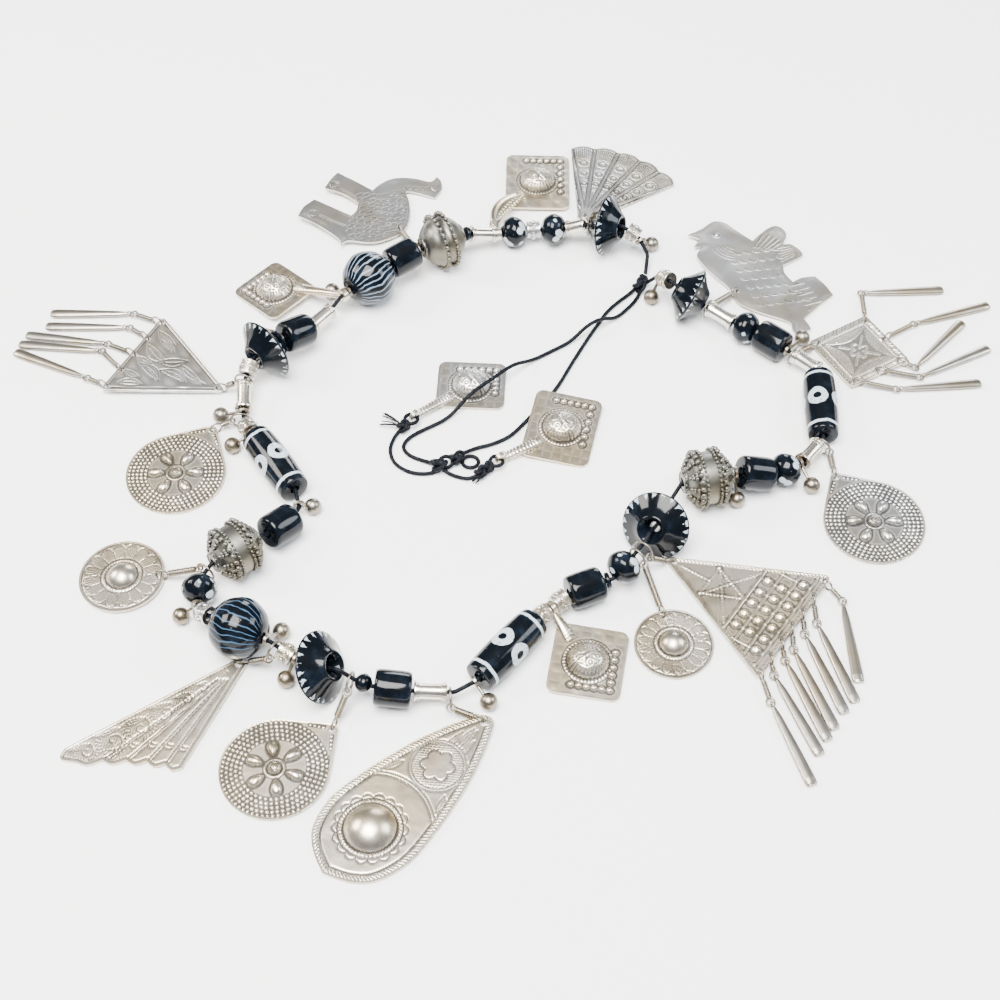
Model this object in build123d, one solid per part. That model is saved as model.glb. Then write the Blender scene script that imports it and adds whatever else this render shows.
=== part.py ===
"""Amulet necklace, lying open on a table: a waxed thread of black agate and silver beads,
hung with flat silver amulets, and closed by two long cord tails that are tied together.

Lengths are millimetres. The layout is a plan: X to the right, Y away from the front, Z up,
with the table at zero. At the end everything moves so that the middle of the necklace,
without its cord tails, stands at the origin. Bearings are degrees in plan, from X towards Y."""
from build123d import *
import math
import os

# thread and cord
THREAD_DIAMETER = 1.5
CORD_DIAMETER = 1.5
BORE_CLEARANCE = 0.25
THREAD_BEND = 3.0
THREAD_SLOPE = 0.42
THREAD_SAG = 0.16
LEAN_MARGIN = 0.25
STEEP_THREAD = 1.3
KNOT_HEIGHT = 2.0
FLOOR_GAP = 0.05

# wire of rings and links
WIRE = 0.8
RING_RADIUS = 3.4
LOOP_RADIUS = 1.35
PLATE_LOOP = 2.1
LOOP_SLANT = 26
LINK_WIRE = 0.7
LINK_BODY = 1.9
ROD_LINK_BODY = 1.4
RING_SINK = 0.85
EYE_WIDTH = 1.8
EYE_DIAMETER = 5.2
HOLE_CLEARANCE = 0.85

# silver balls that hang beside the string
BALL_DIAMETER = 6.0
BALL_EYE = 4.4
BALL_BORE = 2.6
BALL_EYE_WIDTH = 0.9
BALL_SHANK = 1.2

# sheet of the flat amulets
PLATE = 0.9
PLATE_MARGIN = 0.8
BORDER_WIDTH = 1.1
BORDER_HEIGHT = 0.35

# hanging rods
ROD_LENGTH = 31.0
ROD_NECK = 1.5
ROD_WIDTH = 4.1
ROD_THICKNESS = 2.1
ROD_LOOP = 1.15

# kinds of bead: length, diameter, bore; then its profile as pairs of shares,
# of the half length and of the half diameter, and whether a curve runs through them
ROUND = [(-1, 0.36), (-0.9, 0.52), (-0.62, 0.80), (0, 1), (0.62, 0.80), (0.9, 0.52), (1, 0.36)]
BARREL = [(-1, 0.70), (-0.9, 0.86), (-0.6, 0.97), (0, 1), (0.6, 0.97), (0.9, 0.86), (1, 0.70)]
LONG_BARREL = [(-1, 0.72), (-0.95, 0.84), (-0.7, 0.93), (0, 1), (0.7, 0.93), (0.95, 0.84), (1, 0.72)]
LENS = [(-1, 0.41), (-0.62, 0.60), (-0.26, 0.84), (0, 1), (0.26, 0.84), (0.62, 0.60), (1, 0.41)]
BANDED = [(-1, 0.30), (-1, 0.36), (-0.86, 0.40), (-0.62, 0.78), (-0.46, 0.84), (-0.46, 1), (-0.26, 1),
          (-0.26, 0.93), (0.26, 0.93), (0.26, 1), (0.46, 1), (0.46, 0.84), (0.62, 0.78), (0.86, 0.40),
          (1, 0.36), (1, 0.30)]
FLANGED = [(-1, 0.26), (-1, 0.34), (-0.86, 0.55), (-0.5, 0.74), (-0.34, 0.78), (-0.34, 1), (-0.14, 1),
           (-0.14, 0.80), (0.14, 0.80), (0.14, 1), (0.34, 1), (0.34, 0.78), (0.5, 0.74), (0.86, 0.55),
           (1, 0.34), (1, 0.26)]
FLARED = [(-1, 1), (-0.86, 1), (-0.78, 0.80), (0, 0.74), (0.78, 0.80), (0.86, 1), (1, 1)]
COLLARED = [(-1, 1), (-0.7, 1), (-0.62, 0.90), (0.62, 0.90), (0.7, 1), (1, 1)]
KINDS = {
    "rim_bead": dict(length=12.2, diameter=24.0, bore=2.8, mouth=8.2, profile=LENS, curved=True),
    "dotted_bead": dict(length=9.8, diameter=12.4, bore=2.6, mouth=3.4, profile=ROUND, curved=True),
    "striped_bead": dict(length=19.0, diameter=21.4, bore=2.8, mouth=3.6, profile=ROUND, curved=True),
    "eye_bead": dict(length=29.2, diameter=12.4, bore=2.8, mouth=3.6, profile=LONG_BARREL, curved=True),
    "barrel_bead": dict(length=12.2, diameter=12.4, bore=2.8, mouth=3.8, profile=BARREL, curved=True),
    "granulated_bead": dict(length=18.0, diameter=21.6, bore=2.8, mouth=4.0, profile=BANDED, curved=False),
    "flanged_bead": dict(length=17.2, diameter=23.0, bore=2.8, mouth=4.0, profile=FLANGED, curved=False),
    "silver_tube": dict(length=10.6, diameter=6.8, bore=3.6, mouth=4.4, profile=FLARED, curved=False),
    "short_tube": dict(length=7.4, diameter=6.6, bore=3.4, mouth=4.4, profile=FLARED, curved=False),
    "silver_spacer": dict(length=5.2, diameter=6.8, bore=3.4, mouth=4.4, profile=COLLARED, curved=False),
    "black_ring": dict(length=1.7, diameter=5.6, bore=2.6, mouth=3.0, profile=COLLARED, curved=False),
    "dark_bead": dict(length=5.6, diameter=6.4, bore=2.4, mouth=3.0, profile=ROUND, curved=True),
    "bare": dict(length=1.0, diameter=THREAD_DIAMETER, bore=0, mouth=0, profile=None, curved=False),
}
BEAD_GAP = 0.4

# plan route of the thread, from the knot round by the left and the front and back to it
STRING_ROUTE = [
    (56.2, 109.5), (57.2, 116.5), (55.0, 120.5), (49.3, 123.5), (40.3, 127.1), (29.0, 127.5), (20.9, 129.6),
    (13.7, 129.6), (5.4, 128.5), (-8.0, 124.8), (-14.9, 121.9), (-25.4, 117.6), (-40.1, 107.0),
    (-52.8, 98.0), (-68.0, 77.5), (-78.4, 68.2), (-88.9, 58.5), (-92.9, 49.6), (-92.2, 42.0),
    (-92.0, 32.0), (-87.6, 25.0), (-71.4, 1.2), (-68.6, -9.4), (-75.2, -18.9), (-92.4, -30.3),
    (-100.6, -40.0), (-102.0, -47.3), (-97.1, -55.1), (-83.9, -61.0), (-68.0, -69.2), (-57.1, -77.0),
    (-41.9, -81.3), (-31.7, -81.7), (-18.2, -82.6), (-8.8, -80.0), (-3.8, -72.4), (16.2, -49.7),
    (21.9, -44.8), (30.7, -40.3), (39.8, -37.9), (45.2, -33.7), (53.4, -18.3), (60.0, -3.0), (67.4, 3.4),
    (77.3, 3.6), (94.0, 5.0), (104.7, 11.2), (113.0, 17.0), (114.9, 24.0), (119.4, 53.0), (111.0, 60.3),
    (100.6, 71.2), (91.5, 77.4), (80.9, 82.3), (71.5, 91.7), (63.9, 95.0), (59.6, 101.0), (56.6, 104.8),
]


def bead(kind, gap=BEAD_GAP, size=1.0, length=None, turn=0.0, pitch=None, slope=THREAD_SLOPE, holds=()):
    """A row of the string: a bead and the gap after it. size scales its diameter, turn tips it
    in plan on the thread, pitch is how far it climbs from its first end to its second where it
    leans by itself, slope is the steepest that it lies otherwise, and holds names what the
    thread carries in the gap."""
    return dict(kind=kind, gap=gap, size=size, length=length or KINDS[kind]["length"],
                turn=turn, pitch=pitch, slope=slope, holds=holds)


STRING = [
    bead("bare", length=7.2, gap=0.0, slope=0.9),
    bead("bare", length=4.2, gap=1.8, slope=0.9, holds=("ball_start",)),
    bead("silver_spacer", gap=2.0),
    bead("rim_bead", turn=-12, pitch=-10, gap=2.4, holds=("fan",)),
    bead("short_tube"),
    bead("dotted_bead", gap=0.8),
    bead("silver_spacer"),
    bead("dotted_bead", gap=2.8, holds=("top_square",)),
    bead("silver_tube"),
    bead("black_ring", gap=1.4),
    bead("flanged_bead", gap=3.0, holds=("elephant",)),
    bead("barrel_bead", gap=1.1),
    bead("striped_bead", gap=4.6, holds=("ball_diamond", "left_square")),
    bead("bare", length=6.4, gap=0.3),
    bead("silver_tube", gap=1.0),
    bead("barrel_bead", gap=2.7, holds=("ball_rim",)),
    bead("rim_bead", gap=1.5),
    bead("silver_spacer", gap=3.0, holds=("left_triangle",)),
    bead("silver_tube", gap=4.6, holds=("ball_pear", "left_pear")),
    bead("bare", length=1.3, gap=0.2),
    bead("silver_spacer", gap=2.2, holds=("ball_eye",)),
    bead("bare", length=1.2, gap=0.2),
    bead("eye_bead"),
    bead("bare", length=5.4, gap=1.6, holds=("ball_bend",)),
    bead("bare", length=5.4),
    bead("barrel_bead"),
    bead("bare", length=3.0),
    bead("granulated_bead", size=0.94),
    bead("bare", length=1.0, gap=3.0, holds=("left_flower",)),
    bead("bare", length=1.4, gap=0.2),
    bead("dotted_bead", gap=2.8, holds=("ball_dotted",)),
    bead("bare", length=1.6, gap=0.3),
    bead("silver_spacer", gap=1.9),
    bead("striped_bead", gap=2.2, holds=("ball_striped",)),
    bead("bare", length=1.0, gap=2.8, holds=("wing",)),
    bead("silver_spacer", gap=1.5, holds=("ball_front",)),
    bead("bare", length=3.0, gap=0.3),
    bead("rim_bead", turn=10, pitch=32, gap=0.8),
    bead("bare", length=3.4, gap=2.2, slope=STEEP_THREAD, holds=("front_pear",)),
    bead("dark_bead", gap=0.6),
    bead("barrel_bead", gap=0.8),
    bead("silver_tube", gap=2.6, holds=("teardrop",)),
    bead("bare", length=6.6, gap=1.6, holds=("ball_teardrop",)),
    bead("bare", length=0.8, gap=0.2),
    bead("eye_bead", gap=0.7),
    bead("silver_spacer", gap=3.8, holds=("front_square",)),
    bead("silver_spacer", gap=1.2),
    bead("barrel_bead", gap=1.4),
    bead("black_ring", gap=1.3),
    bead("dotted_bead", gap=6.6, holds=("right_flower", "big_triangle")),
    bead("bare", length=2.4, gap=0.2, slope=STEEP_THREAD),
    bead("rim_bead", pitch=-34),
    bead("bare", length=7.2, slope=0.8),
    bead("bare", length=7.2, slope=0.8),
    bead("granulated_bead", gap=3.0, holds=("ball_granulated",)),
    bead("barrel_bead", gap=1.1),
    bead("dotted_bead", gap=2.6, holds=("ball_corner",)),
    bead("silver_tube", gap=3.0, holds=("right_pear",)),
    bead("bare", length=1.5, gap=0.2),
    bead("eye_bead", gap=2.9),
    bead("silver_tube", gap=4.9, holds=("square_plate", "ball_plate")),
    bead("barrel_bead", gap=0.6),
    bead("dotted_bead", gap=0.5),
    bead("silver_tube", gap=2.4, holds=("bird",)),
    bead("rim_bead", size=0.92, turn=14, pitch=22, gap=2.8),
    bead("silver_spacer", gap=2.2, holds=("ball_end",)),
    bead("bare", length=5.6, gap=0.0, slope=1.3),
]


def lerp(first, second, share):
    """The point that lies the given share of the way from the first to the second."""
    return first + (second - first) * share


def walk(route, lengths):
    """Plan joints of the string: each lies its own straight length from the one before."""
    joints = [route[0]]
    leg, share = 0, 0.0
    for length in lengths:
        here = joints[-1]
        while leg < len(route) - 2 and (route[leg + 1] - here).length < length:
            leg, share = leg + 1, 0.0
        start, end = route[leg], route[leg + 1]
        low, high = share, share + 2 * length / (end - start).length
        for _ in range(40):
            middle = (low + high) / 2
            if (lerp(start, end, middle) - here).length < length:
                low = middle
            else:
                high = middle
        share = low
        joints.append(lerp(start, end, share))
    return joints


def closed_route(lengths):
    """The route's points, scaled about the middle of the loop until the string just closes it."""
    points = [Vector(x, y) for x, y in STRING_ROUTE]
    last_leg = (points[-1] - points[-2]).normalized()
    scale = 1.0
    for _ in range(30):
        route = [point * scale for point in points]
        missing = (route[-1] - walk(route, lengths)[-1]).dot(last_leg)
        scale -= missing / sum(lengths)
    print("the string is", round(sum(lengths), 1), "long and scales its route by", round(scale, 4))
    return route


def lowest(row, rise):
    """Depth of a bead's lowest point under its middle when its axis climbs by an angle."""
    kind = KINDS[row["kind"]]
    if kind["profile"] is None:
        return THREAD_DIAMETER / 2 + row["length"] / 2 * abs(math.sin(rise))
    half = kind["length"] / 2
    radius = kind["diameter"] / 2 * row["size"]
    return max(out * radius * math.cos(rise) - along * half * math.sin(rise)
               for along, out in kind["profile"])


def rest_heights():
    """Heights of the joints: every bead is lifted until it rests on the table, and the thread
    falls away from a high bead no faster than its slope."""
    level = [FLOOR_GAP + lowest(row, 0) for row in STRING]
    heights = [max(sides) for sides in zip(level[:1] + level, level + level[-1:])]
    heights[0] = heights[-1] = KNOT_HEIGHT
    fixed = {0, len(STRING)}
    for index, row in enumerate(STRING):
        if row["pitch"] is not None:
            rise = math.radians(row["pitch"])
            middle = FLOOR_GAP + LEAN_MARGIN + lowest(row, rise)
            heights[index] = middle - row["length"] / 2 * math.sin(rise)
            heights[index + 1] = middle + row["length"] / 2 * math.sin(rise)
            fixed |= {index, index + 1}
    for _ in range(300):
        for index, row in enumerate(STRING):
            free = [joint for joint in (index, index + 1) if joint not in fixed]
            start, end = heights[index], heights[index + 1]
            rise = math.asin(max(-0.95, min(0.95, (end - start) / (row["length"] + row["gap"]))))
            shortage = FLOOR_GAP + lowest(row, rise) - (start + end) / 2
            for joint in free:
                heights[joint] += max(0.0, shortage)
            fall = (row["length"] + row["gap"]) * row["slope"]
            for joint, other in ((index, index + 1), (index + 1, index)):
                if joint in free:
                    heights[joint] = max(heights[joint], heights[other] - fall)
        for joint, (before, after) in enumerate(zip(STRING, STRING[1:]), start=1):
            run_before = before["length"] + before["gap"]
            run_after = after["length"] + after["gap"]
            chord = ((heights[joint - 1] * run_after + heights[joint + 1] * run_before)
                     / (run_before + run_after))
            if joint not in fixed:
                heights[joint] = max(heights[joint], chord - THREAD_SAG * min(run_before, run_after))
    return heights


def string_places():
    """Start and end of each bead, and the place and direction of each thing that the thread holds."""
    lengths = [row["length"] + row["gap"] for row in STRING]
    joints = walk(closed_route(lengths), lengths)
    heights = rest_heights()
    points = [Vector(joint.X, joint.Y, height) for joint, height in zip(joints, heights)]
    beads = []
    held = {}
    for index, row in enumerate(STRING):
        direction = (points[index + 1] - points[index]).normalized()
        start = points[index] + direction * ((points[index + 1] - points[index]).length
                                             - row["length"] - row["gap"]) / 2
        end = start + direction * row["length"]
        beads.append((start, end))
        for place, name in enumerate(row["holds"]):
            station = row["length"] + row["gap"] * (place + 0.5) / len(row["holds"])
            held[name] = (start + direction * station, direction)
    return points, beads, held


POINTS, BEADS, HELD = string_places()


def frame_at(origin, along, upward=Vector(0, 0, 1)):
    """Plane with its X axis along a direction and its Z axis as upright as that allows."""
    along = along.normalized()
    upward = (upward - along * upward.dot(along)).normalized()
    return Plane(origin=origin, x_dir=along, z_dir=upward)


def bearing_vector(bearing, fall=0.0):
    """Unit vector of a bearing in plan, turned down by an angle of fall."""
    level = math.cos(math.radians(fall))
    return Vector(level * math.cos(math.radians(bearing)), level * math.sin(math.radians(bearing)),
                  -math.sin(math.radians(fall)))


def ring(radius, wire):
    """Ring of round wire in the XY plane, from its middle line's radius."""
    return Torus(radius, wire / 2)


def cap(radius, height):
    """Low dome with a flat foot, a little sunk into the sheet that it stands on."""
    ball = (radius ** 2 + height ** 2) / (2 * height)
    whole = Pos(0, 0, height - ball) * Sphere(ball)
    return whole & Pos(0, 0, height / 2) * Box(2.2 * radius, 2.2 * radius, height)


def curve_through(points):
    """Smooth curve through points, or a straight line through two."""
    return Spline(*points) if len(points) > 2 else Line(*points)


def outline(runs):
    """Closed outline of runs that meet in corners; each run is a list of points."""
    edges = [curve_through(run) for run in runs]
    return make_face(Curve() + edges)


def sheet(face, thickness=PLATE):
    """Sheet metal of the given outline, standing on the XY plane."""
    return extrude(face, thickness)


def wire_hole(wire=WIRE):
    """Cutter for a hole that a wire of the given diameter passes with room to turn."""
    return Cylinder(wire / 2 + HOLE_CLEARANCE, 4 * PLATE)


# the string


def make_bead(row, start, end):
    """One bead, drilled along its axis, in its place on the thread."""
    kind = KINDS[row["kind"]]
    half = kind["length"] / 2
    radius = kind["diameter"] / 2 * row["size"]
    points = [(out * radius, along * half) for along, out in kind["profile"]]
    side = Spline(*points) if kind["curved"] else Polyline(*points)
    axis = Polyline((points[-1][0], half), (0, half), (0, -half), (points[0][0], -half))
    solid = revolve(make_face(Curve() + [side, axis]), Axis.Y, 360)
    throat = kind["bore"] / 2
    mouth = kind["mouth"] / 2
    bore = revolve(make_face(Polyline((0, -half), (mouth, -half), (throat, -half * 0.12),
                                      (throat, half * 0.12), (mouth, half), (0, half), (0, -half))), Axis.Y, 360)
    along = (end - start).normalized()
    tipped = along.rotate(Axis.Z, row["turn"])
    climb = math.degrees(math.asin(along.Z)) if row["pitch"] is None else row["pitch"]
    tipped = bearing_vector(math.degrees(math.atan2(tipped.Y, tipped.X)), -climb)
    place = frame_at(lerp(start, end, 0.5), tipped)
    return (place.location * Rot(0, 0, -90)) * (solid - bore)


def tube_along(points, diameter, bends):
    """Round tube along straight runs that tangent arcs join."""
    path = FilletPolyline(*points, radius=bends)
    mouth = Plane(origin=path @ 0, z_dir=path % 0)
    return sweep(mouth * Circle(diameter / 2), path=path)


def thread_points():
    """Points of the thread: the ends of the beads' bores, without those that lie in line."""
    kept = [POINTS[0]]
    for before, here, after in zip(POINTS, POINTS[1:], POINTS[2:]):
        if (here - before).get_angle(after - here) > 0.4 and (here - kept[-1]).length > 1.2:
            kept.append(here)
    return kept + [POINTS[-1]]


def bends_of(points, widest):
    """Bend radius at each inner point: as large as its two runs allow, up to the widest."""
    radii = []
    for before, here, after in zip(points, points[1:], points[2:]):
        turn = math.radians((here - before).get_angle(after - here))
        shorter = min((here - before).length, (after - here).length)
        radii.append(min(widest, 0.45 * shorter / math.tan(turn / 2)))
    return radii


def make_ball_drop(place, direction, bearing, reach):
    """Silver ball that lies beside the thread, on a shank from the eye that the thread passes
    through. reach is from the thread to the middle of the ball."""
    fall = math.asin((place.Z - BALL_DIAMETER / 2 - FLOOR_GAP) / reach)
    side = bearing_vector(bearing, math.degrees(fall))
    eye = Plane(origin=place, x_dir=direction - side * side.dot(direction), z_dir=side)
    solid = eye.location * Rot(0, 90, 0) * Cylinder(BALL_EYE / 2, BALL_EYE_WIDTH)
    solid += eye.location * Pos(0, 0, reach / 2) * Cylinder(BALL_SHANK / 2, reach - BALL_DIAMETER / 2)
    solid += eye.location * Pos(0, 0, reach) * Rot(90, 0, 0) * Sphere(BALL_DIAMETER / 2)
    return solid - eye.location * Rot(0, 90, 0) * Cylinder(BALL_BORE / 2, BALL_DIAMETER)


# bearing of each ball from the thread, and its reach
BALLS = {
    "ball_start": (44, 9.1), "ball_diamond": (131, 13.4), "ball_rim": (131, 14.6), "ball_pear": (176, 9.2),
    "ball_eye": (206, 8.5), "ball_bend": (15, 5.4), "ball_dotted": (191, 7.9), "ball_striped": (68, 12.1),
    "ball_front": (240, 7.4), "ball_teardrop": (-52, 8.0), "ball_granulated": (-82, 9.8),
    "ball_corner": (-62, 9.1), "ball_plate": (54, 12.2), "ball_end": (228, 8.6),
}

# the flat amulets, each in its own frame: the hole that it hangs by is at the origin,
# its underside is on the XY plane and X points to its far end


def hang_hole(solid):
    """The solid with the hole at the origin, for the wire that holds it."""
    return solid - wire_hole()


PEAR_RADIUS = 17.9
PEAR_REACH = 22.5
PEAR_TIP = 2.6
PEAR_BOSS = 2.9
PEAR_BOSS_HEIGHT = 1.7
PEAR_BOSS_CIRCLE = 8.4
PEAR_BOSSES = 6


def pear_disc():
    """Round disc drawn out to a rolled tip, with a boss in the middle and six around it."""
    face = make_hull((Pos(PEAR_REACH, 0) * Circle(PEAR_RADIUS)).edges() + Circle(PEAR_TIP / 2 + 0.7).edges())
    solid = sheet(face)
    middle = Pos(PEAR_REACH, 0, PLATE)
    solid += middle * cap(PEAR_BOSS, PEAR_BOSS_HEIGHT)
    for place in PolarLocations(PEAR_BOSS_CIRCLE, PEAR_BOSSES):
        solid += middle * place * cap(PEAR_BOSS, PEAR_BOSS_HEIGHT)
    return hang_hole(solid)


LEFT_FLOWER_RADIUS = 14.8
RIGHT_FLOWER_RADIUS = 13.4
FLOWER_DOME_SHARE = 0.38
FLOWER_DOME_HEIGHT = 3.4
FLOWER_ROPE = 1.0
FLOWER_HOLE_INSET = 2.6


def flower_disc(radius):
    """Round disc with a dome in the middle and a rope ring round the dome."""
    centre = Pos(radius - FLOWER_HOLE_INSET, 0)
    solid = sheet(centre * Circle(radius))
    dome = radius * FLOWER_DOME_SHARE
    solid += Pos(0, 0, PLATE) * centre * cap(dome, FLOWER_DOME_HEIGHT)
    solid += Pos(0, 0, PLATE) * centre * Torus(dome + FLOWER_ROPE, FLOWER_ROPE / 2)
    return hang_hole(solid)


TEARDROP_LENGTH = 72.0
TEARDROP_WIDTH = 34.0
TEARDROP_DOME = 8.6
TEARDROP_DOME_HEIGHT = 5.0
TEARDROP_DOME_AT = 0.715
TEARDROP_FIELD = 0.93
# along the drop as shares of its length, and out to its side as shares of its half width
TEARDROP_SIDE = [(-0.046, 0.0), (-0.034, 0.13), (0.02, 0.27), (0.17, 0.54), (0.34, 0.76), (0.55, 0.94),
                 (0.72, 1.0), (0.87, 0.82), (0.95, 0.48), (1.0, 0.0)]


def teardrop():
    """Long drop that ends in a blunt point, with a big dome and a raised edge."""
    side = [(along * TEARDROP_LENGTH, out * TEARDROP_WIDTH / 2) for along, out in TEARDROP_SIDE]
    field = [(x * TEARDROP_FIELD + BORDER_WIDTH, y * TEARDROP_FIELD) for x, y in side]
    whole, inner = (outline([run, [(x, -y) for x, y in reversed(run)]]) for run in (side, field))
    solid = sheet(whole, PLATE + BORDER_HEIGHT)
    solid -= Pos(0, 0, PLATE) * extrude(inner, 2 * BORDER_HEIGHT)
    dome = Pos(TEARDROP_DOME_AT * TEARDROP_LENGTH, 0, PLATE)
    solid += dome * cap(TEARDROP_DOME, TEARDROP_DOME_HEIGHT)
    solid += dome * Torus(TEARDROP_DOME + 1.0, 0.5)
    return hang_hole(solid)


WING_LENGTH = 63.0
WING_FEATHERS = 5
# outline from the hole, as shares of the length: the long edge, the tip, and the feather ends
WING_EDGE = [(-0.026, 0.028), (-0.035, 0.0), (-0.02, -0.03)]
WING_TIP = [(0.95, -0.245), (0.995, -0.225), (1.0, -0.20)]
WING_ENDS = [(0.60, 0.27), (0.645, 0.19), (0.70, 0.11), (0.77, 0.03), (0.855, -0.055), (0.955, -0.14)]


def wing():
    """Wing with one straight long edge and five feathers, whose ends are scalloped."""
    scale = WING_LENGTH
    tip = [(x * scale, y * scale) for x, y in WING_TIP]
    top = [(x * scale, y * scale) for x, y in WING_EDGE]
    ends = [(x * scale, y * scale) for x, y in WING_ENDS]
    lines = [Line(top[-1], tip[0]), Spline(*tip), Line(tip[-1], ends[-1])]
    for first, second in zip(ends, ends[1:]):
        middle = ((first[0] + second[0]) / 2 + 0.022 * scale, (first[1] + second[1]) / 2 + 0.012 * scale)
        lines.append(ThreePointArc(first, middle, second))
    lines += [Line(ends[0], top[0]), Spline(*top)]
    solid = sheet(make_face(Curve() + lines))
    for end in ends[1:-1]:
        rib = Line((end[0] * 0.30, end[1] * 0.30), (end[0] * 0.97, end[1] * 0.97))
        solid += Pos(0, 0, PLATE) * extrude(trace(rib, BORDER_WIDTH * 0.6), BORDER_HEIGHT)
    return hang_hole(solid)


TRIANGLE_HOLE_INSET = 2.2
TRIANGLE_CORNER = 1.2
TRIANGLE_METAL = 0.5


def triangle_tip(height, base):
    """Length of a triangle's sharp tip beyond its hole, which leaves metal beside the hole."""
    half_width = WIRE / 2 + HOLE_CLEARANCE + TRIANGLE_METAL
    return half_width / math.sin(math.atan(base / 2 / height))


def triangle(height, base, holes):
    """Three-cornered plate that hangs by one corner, with a raised edge and a row of holes
    along the side opposite."""
    back = -triangle_tip(height, base)
    face = make_face(Polyline((back, 0), (height + back, base / 2), (height + back, -base / 2), (back, 0)))
    face = fillet(face.vertices(), TRIANGLE_CORNER)
    solid = sheet(face)
    edge = face - offset(face, -BORDER_WIDTH)
    solid += Pos(0, 0, PLATE) * extrude(edge, BORDER_HEIGHT)
    for place in triangle_holes(height, base, holes):
        solid -= Pos(place.X, place.Y) * wire_hole(LINK_WIRE)
    return hang_hole(solid)


def triangle_holes(height, base, holes):
    """Places of the row of holes, in the triangle's own frame."""
    far = height - triangle_tip(height, base) - PLATE_MARGIN - LINK_WIRE
    half = base / 2 - TRIANGLE_HOLE_INSET - PLATE_MARGIN
    return [Vector(far, half * (1 - 2 * index / (holes - 1))) for index in range(holes)]


LEFT_TRIANGLE = dict(height=42.0, base=42.5, holes=5)
BIG_TRIANGLE = dict(height=52.0, base=50.0, holes=7)
BIG_BOSS = 1.9
BIG_BOSS_HEIGHT = 1.2
BIG_BOSS_ROWS = 3
BIG_BOSS_COLUMNS = 7
BIG_BOSS_PITCH = 5.4


def big_triangle():
    """Big triangle with two ribs across and a field of bosses behind its row of holes."""
    solid = triangle(**BIG_TRIANGLE)
    slope = BIG_TRIANGLE["base"] / 2 / BIG_TRIANGLE["height"]
    holes = triangle_holes(**BIG_TRIANGLE)
    field = holes[0].X - PLATE_MARGIN - LINK_WIRE
    for row in range(BIG_BOSS_ROWS):
        x = field - BIG_BOSS_PITCH * (row + 0.55)
        room = slope * x - BIG_BOSS
        for column in range(BIG_BOSS_COLUMNS):
            y = (column - (BIG_BOSS_COLUMNS - 1) / 2) * BIG_BOSS_PITCH
            if abs(y) < room:
                solid += Pos(x, y, PLATE) * cap(BIG_BOSS, BIG_BOSS_HEIGHT)
    for x in (field, field - BIG_BOSS_PITCH * (BIG_BOSS_ROWS + 0.1)):
        rib = Line((x, slope * x), (x, -slope * x))
        solid += Pos(0, 0, PLATE) * extrude(trace(rib, BORDER_WIDTH * 0.7), BORDER_HEIGHT)
    return solid


FAN_RADIUS = 44.0
FAN_OPENING = 68.0
FAN_BLADES = 5
FAN_HUB = 3.0
FAN_NOTCH = 1.3


def fan():
    """Fan of five blades with rounded ends, and a rib between each two."""
    step = FAN_OPENING / FAN_BLADES
    first = -FAN_OPENING / 2
    edge_radius = FAN_RADIUS * math.cos(math.radians(step / 2)) - FAN_NOTCH

    def at(radius, angle):
        return (radius * math.cos(math.radians(angle)), radius * math.sin(math.radians(angle)))

    lines = []
    for blade in range(FAN_BLADES):
        low = first + blade * step
        lines.append(ThreePointArc(at(edge_radius, low), at(FAN_RADIUS, low + step / 2),
                                   at(edge_radius, low + step)))
    lines += [Line(at(edge_radius, -first), at(FAN_HUB, -first + 60)),
              ThreePointArc(at(FAN_HUB, -first + 60), (-FAN_HUB, 0), at(FAN_HUB, first - 60)),
              Line(at(FAN_HUB, first - 60), at(edge_radius, first))]
    solid = sheet(make_face(Curve() + lines))
    for blade in range(1, FAN_BLADES):
        rib = Line(at(FAN_HUB * 1.6, first + blade * step), at(edge_radius * 0.985, first + blade * step))
        solid += Pos(0, 0, PLATE) * extrude(trace(rib, BORDER_WIDTH * 0.6), BORDER_HEIGHT)
    return hang_hole(solid)


SQUARE_PLATE_SIDE = 26.8
SQUARE_PLATE_INSET = 3.3
# places of the square plate's holes for its rods, as shares of its side from the corner
# that it hangs by, along its two edges
PLATE_HOLES = [(0.09, 0.93), (0.50, 0.93), (0.93, 0.86), (0.93, 0.50), (0.93, 0.09)]


def plate_holes():
    """Places of the rod holes in the square plate's own frame, whose X is its diagonal."""
    side = SQUARE_PLATE_SIDE
    back = SQUARE_PLATE_INSET
    return [Vector((u + v) * side / math.sqrt(2) - back, (v - u) * side / math.sqrt(2))
            for u, v in PLATE_HOLES]


def square_plate():
    """Square plate that hangs by a corner, with a raised edge and an inner frame."""
    side = SQUARE_PLATE_SIDE
    centre = Pos(side / math.sqrt(2) - SQUARE_PLATE_INSET, 0)
    face = centre * (Rot(0, 0, 45) * RectangleRounded(side, side, TRIANGLE_CORNER))
    solid = sheet(face)
    frame = offset(face, -BORDER_WIDTH * 2.4)
    solid += Pos(0, 0, PLATE) * extrude(frame - offset(frame, -BORDER_WIDTH * 0.6), BORDER_HEIGHT)
    for place in plate_holes():
        solid -= Pos(place.X, place.Y) * wire_hole(LINK_WIRE)
    return hang_hole(solid)


ELEPHANT_LENGTH = 57.0
ELEPHANT_OFFSET = (0.4, 2.4)
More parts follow.
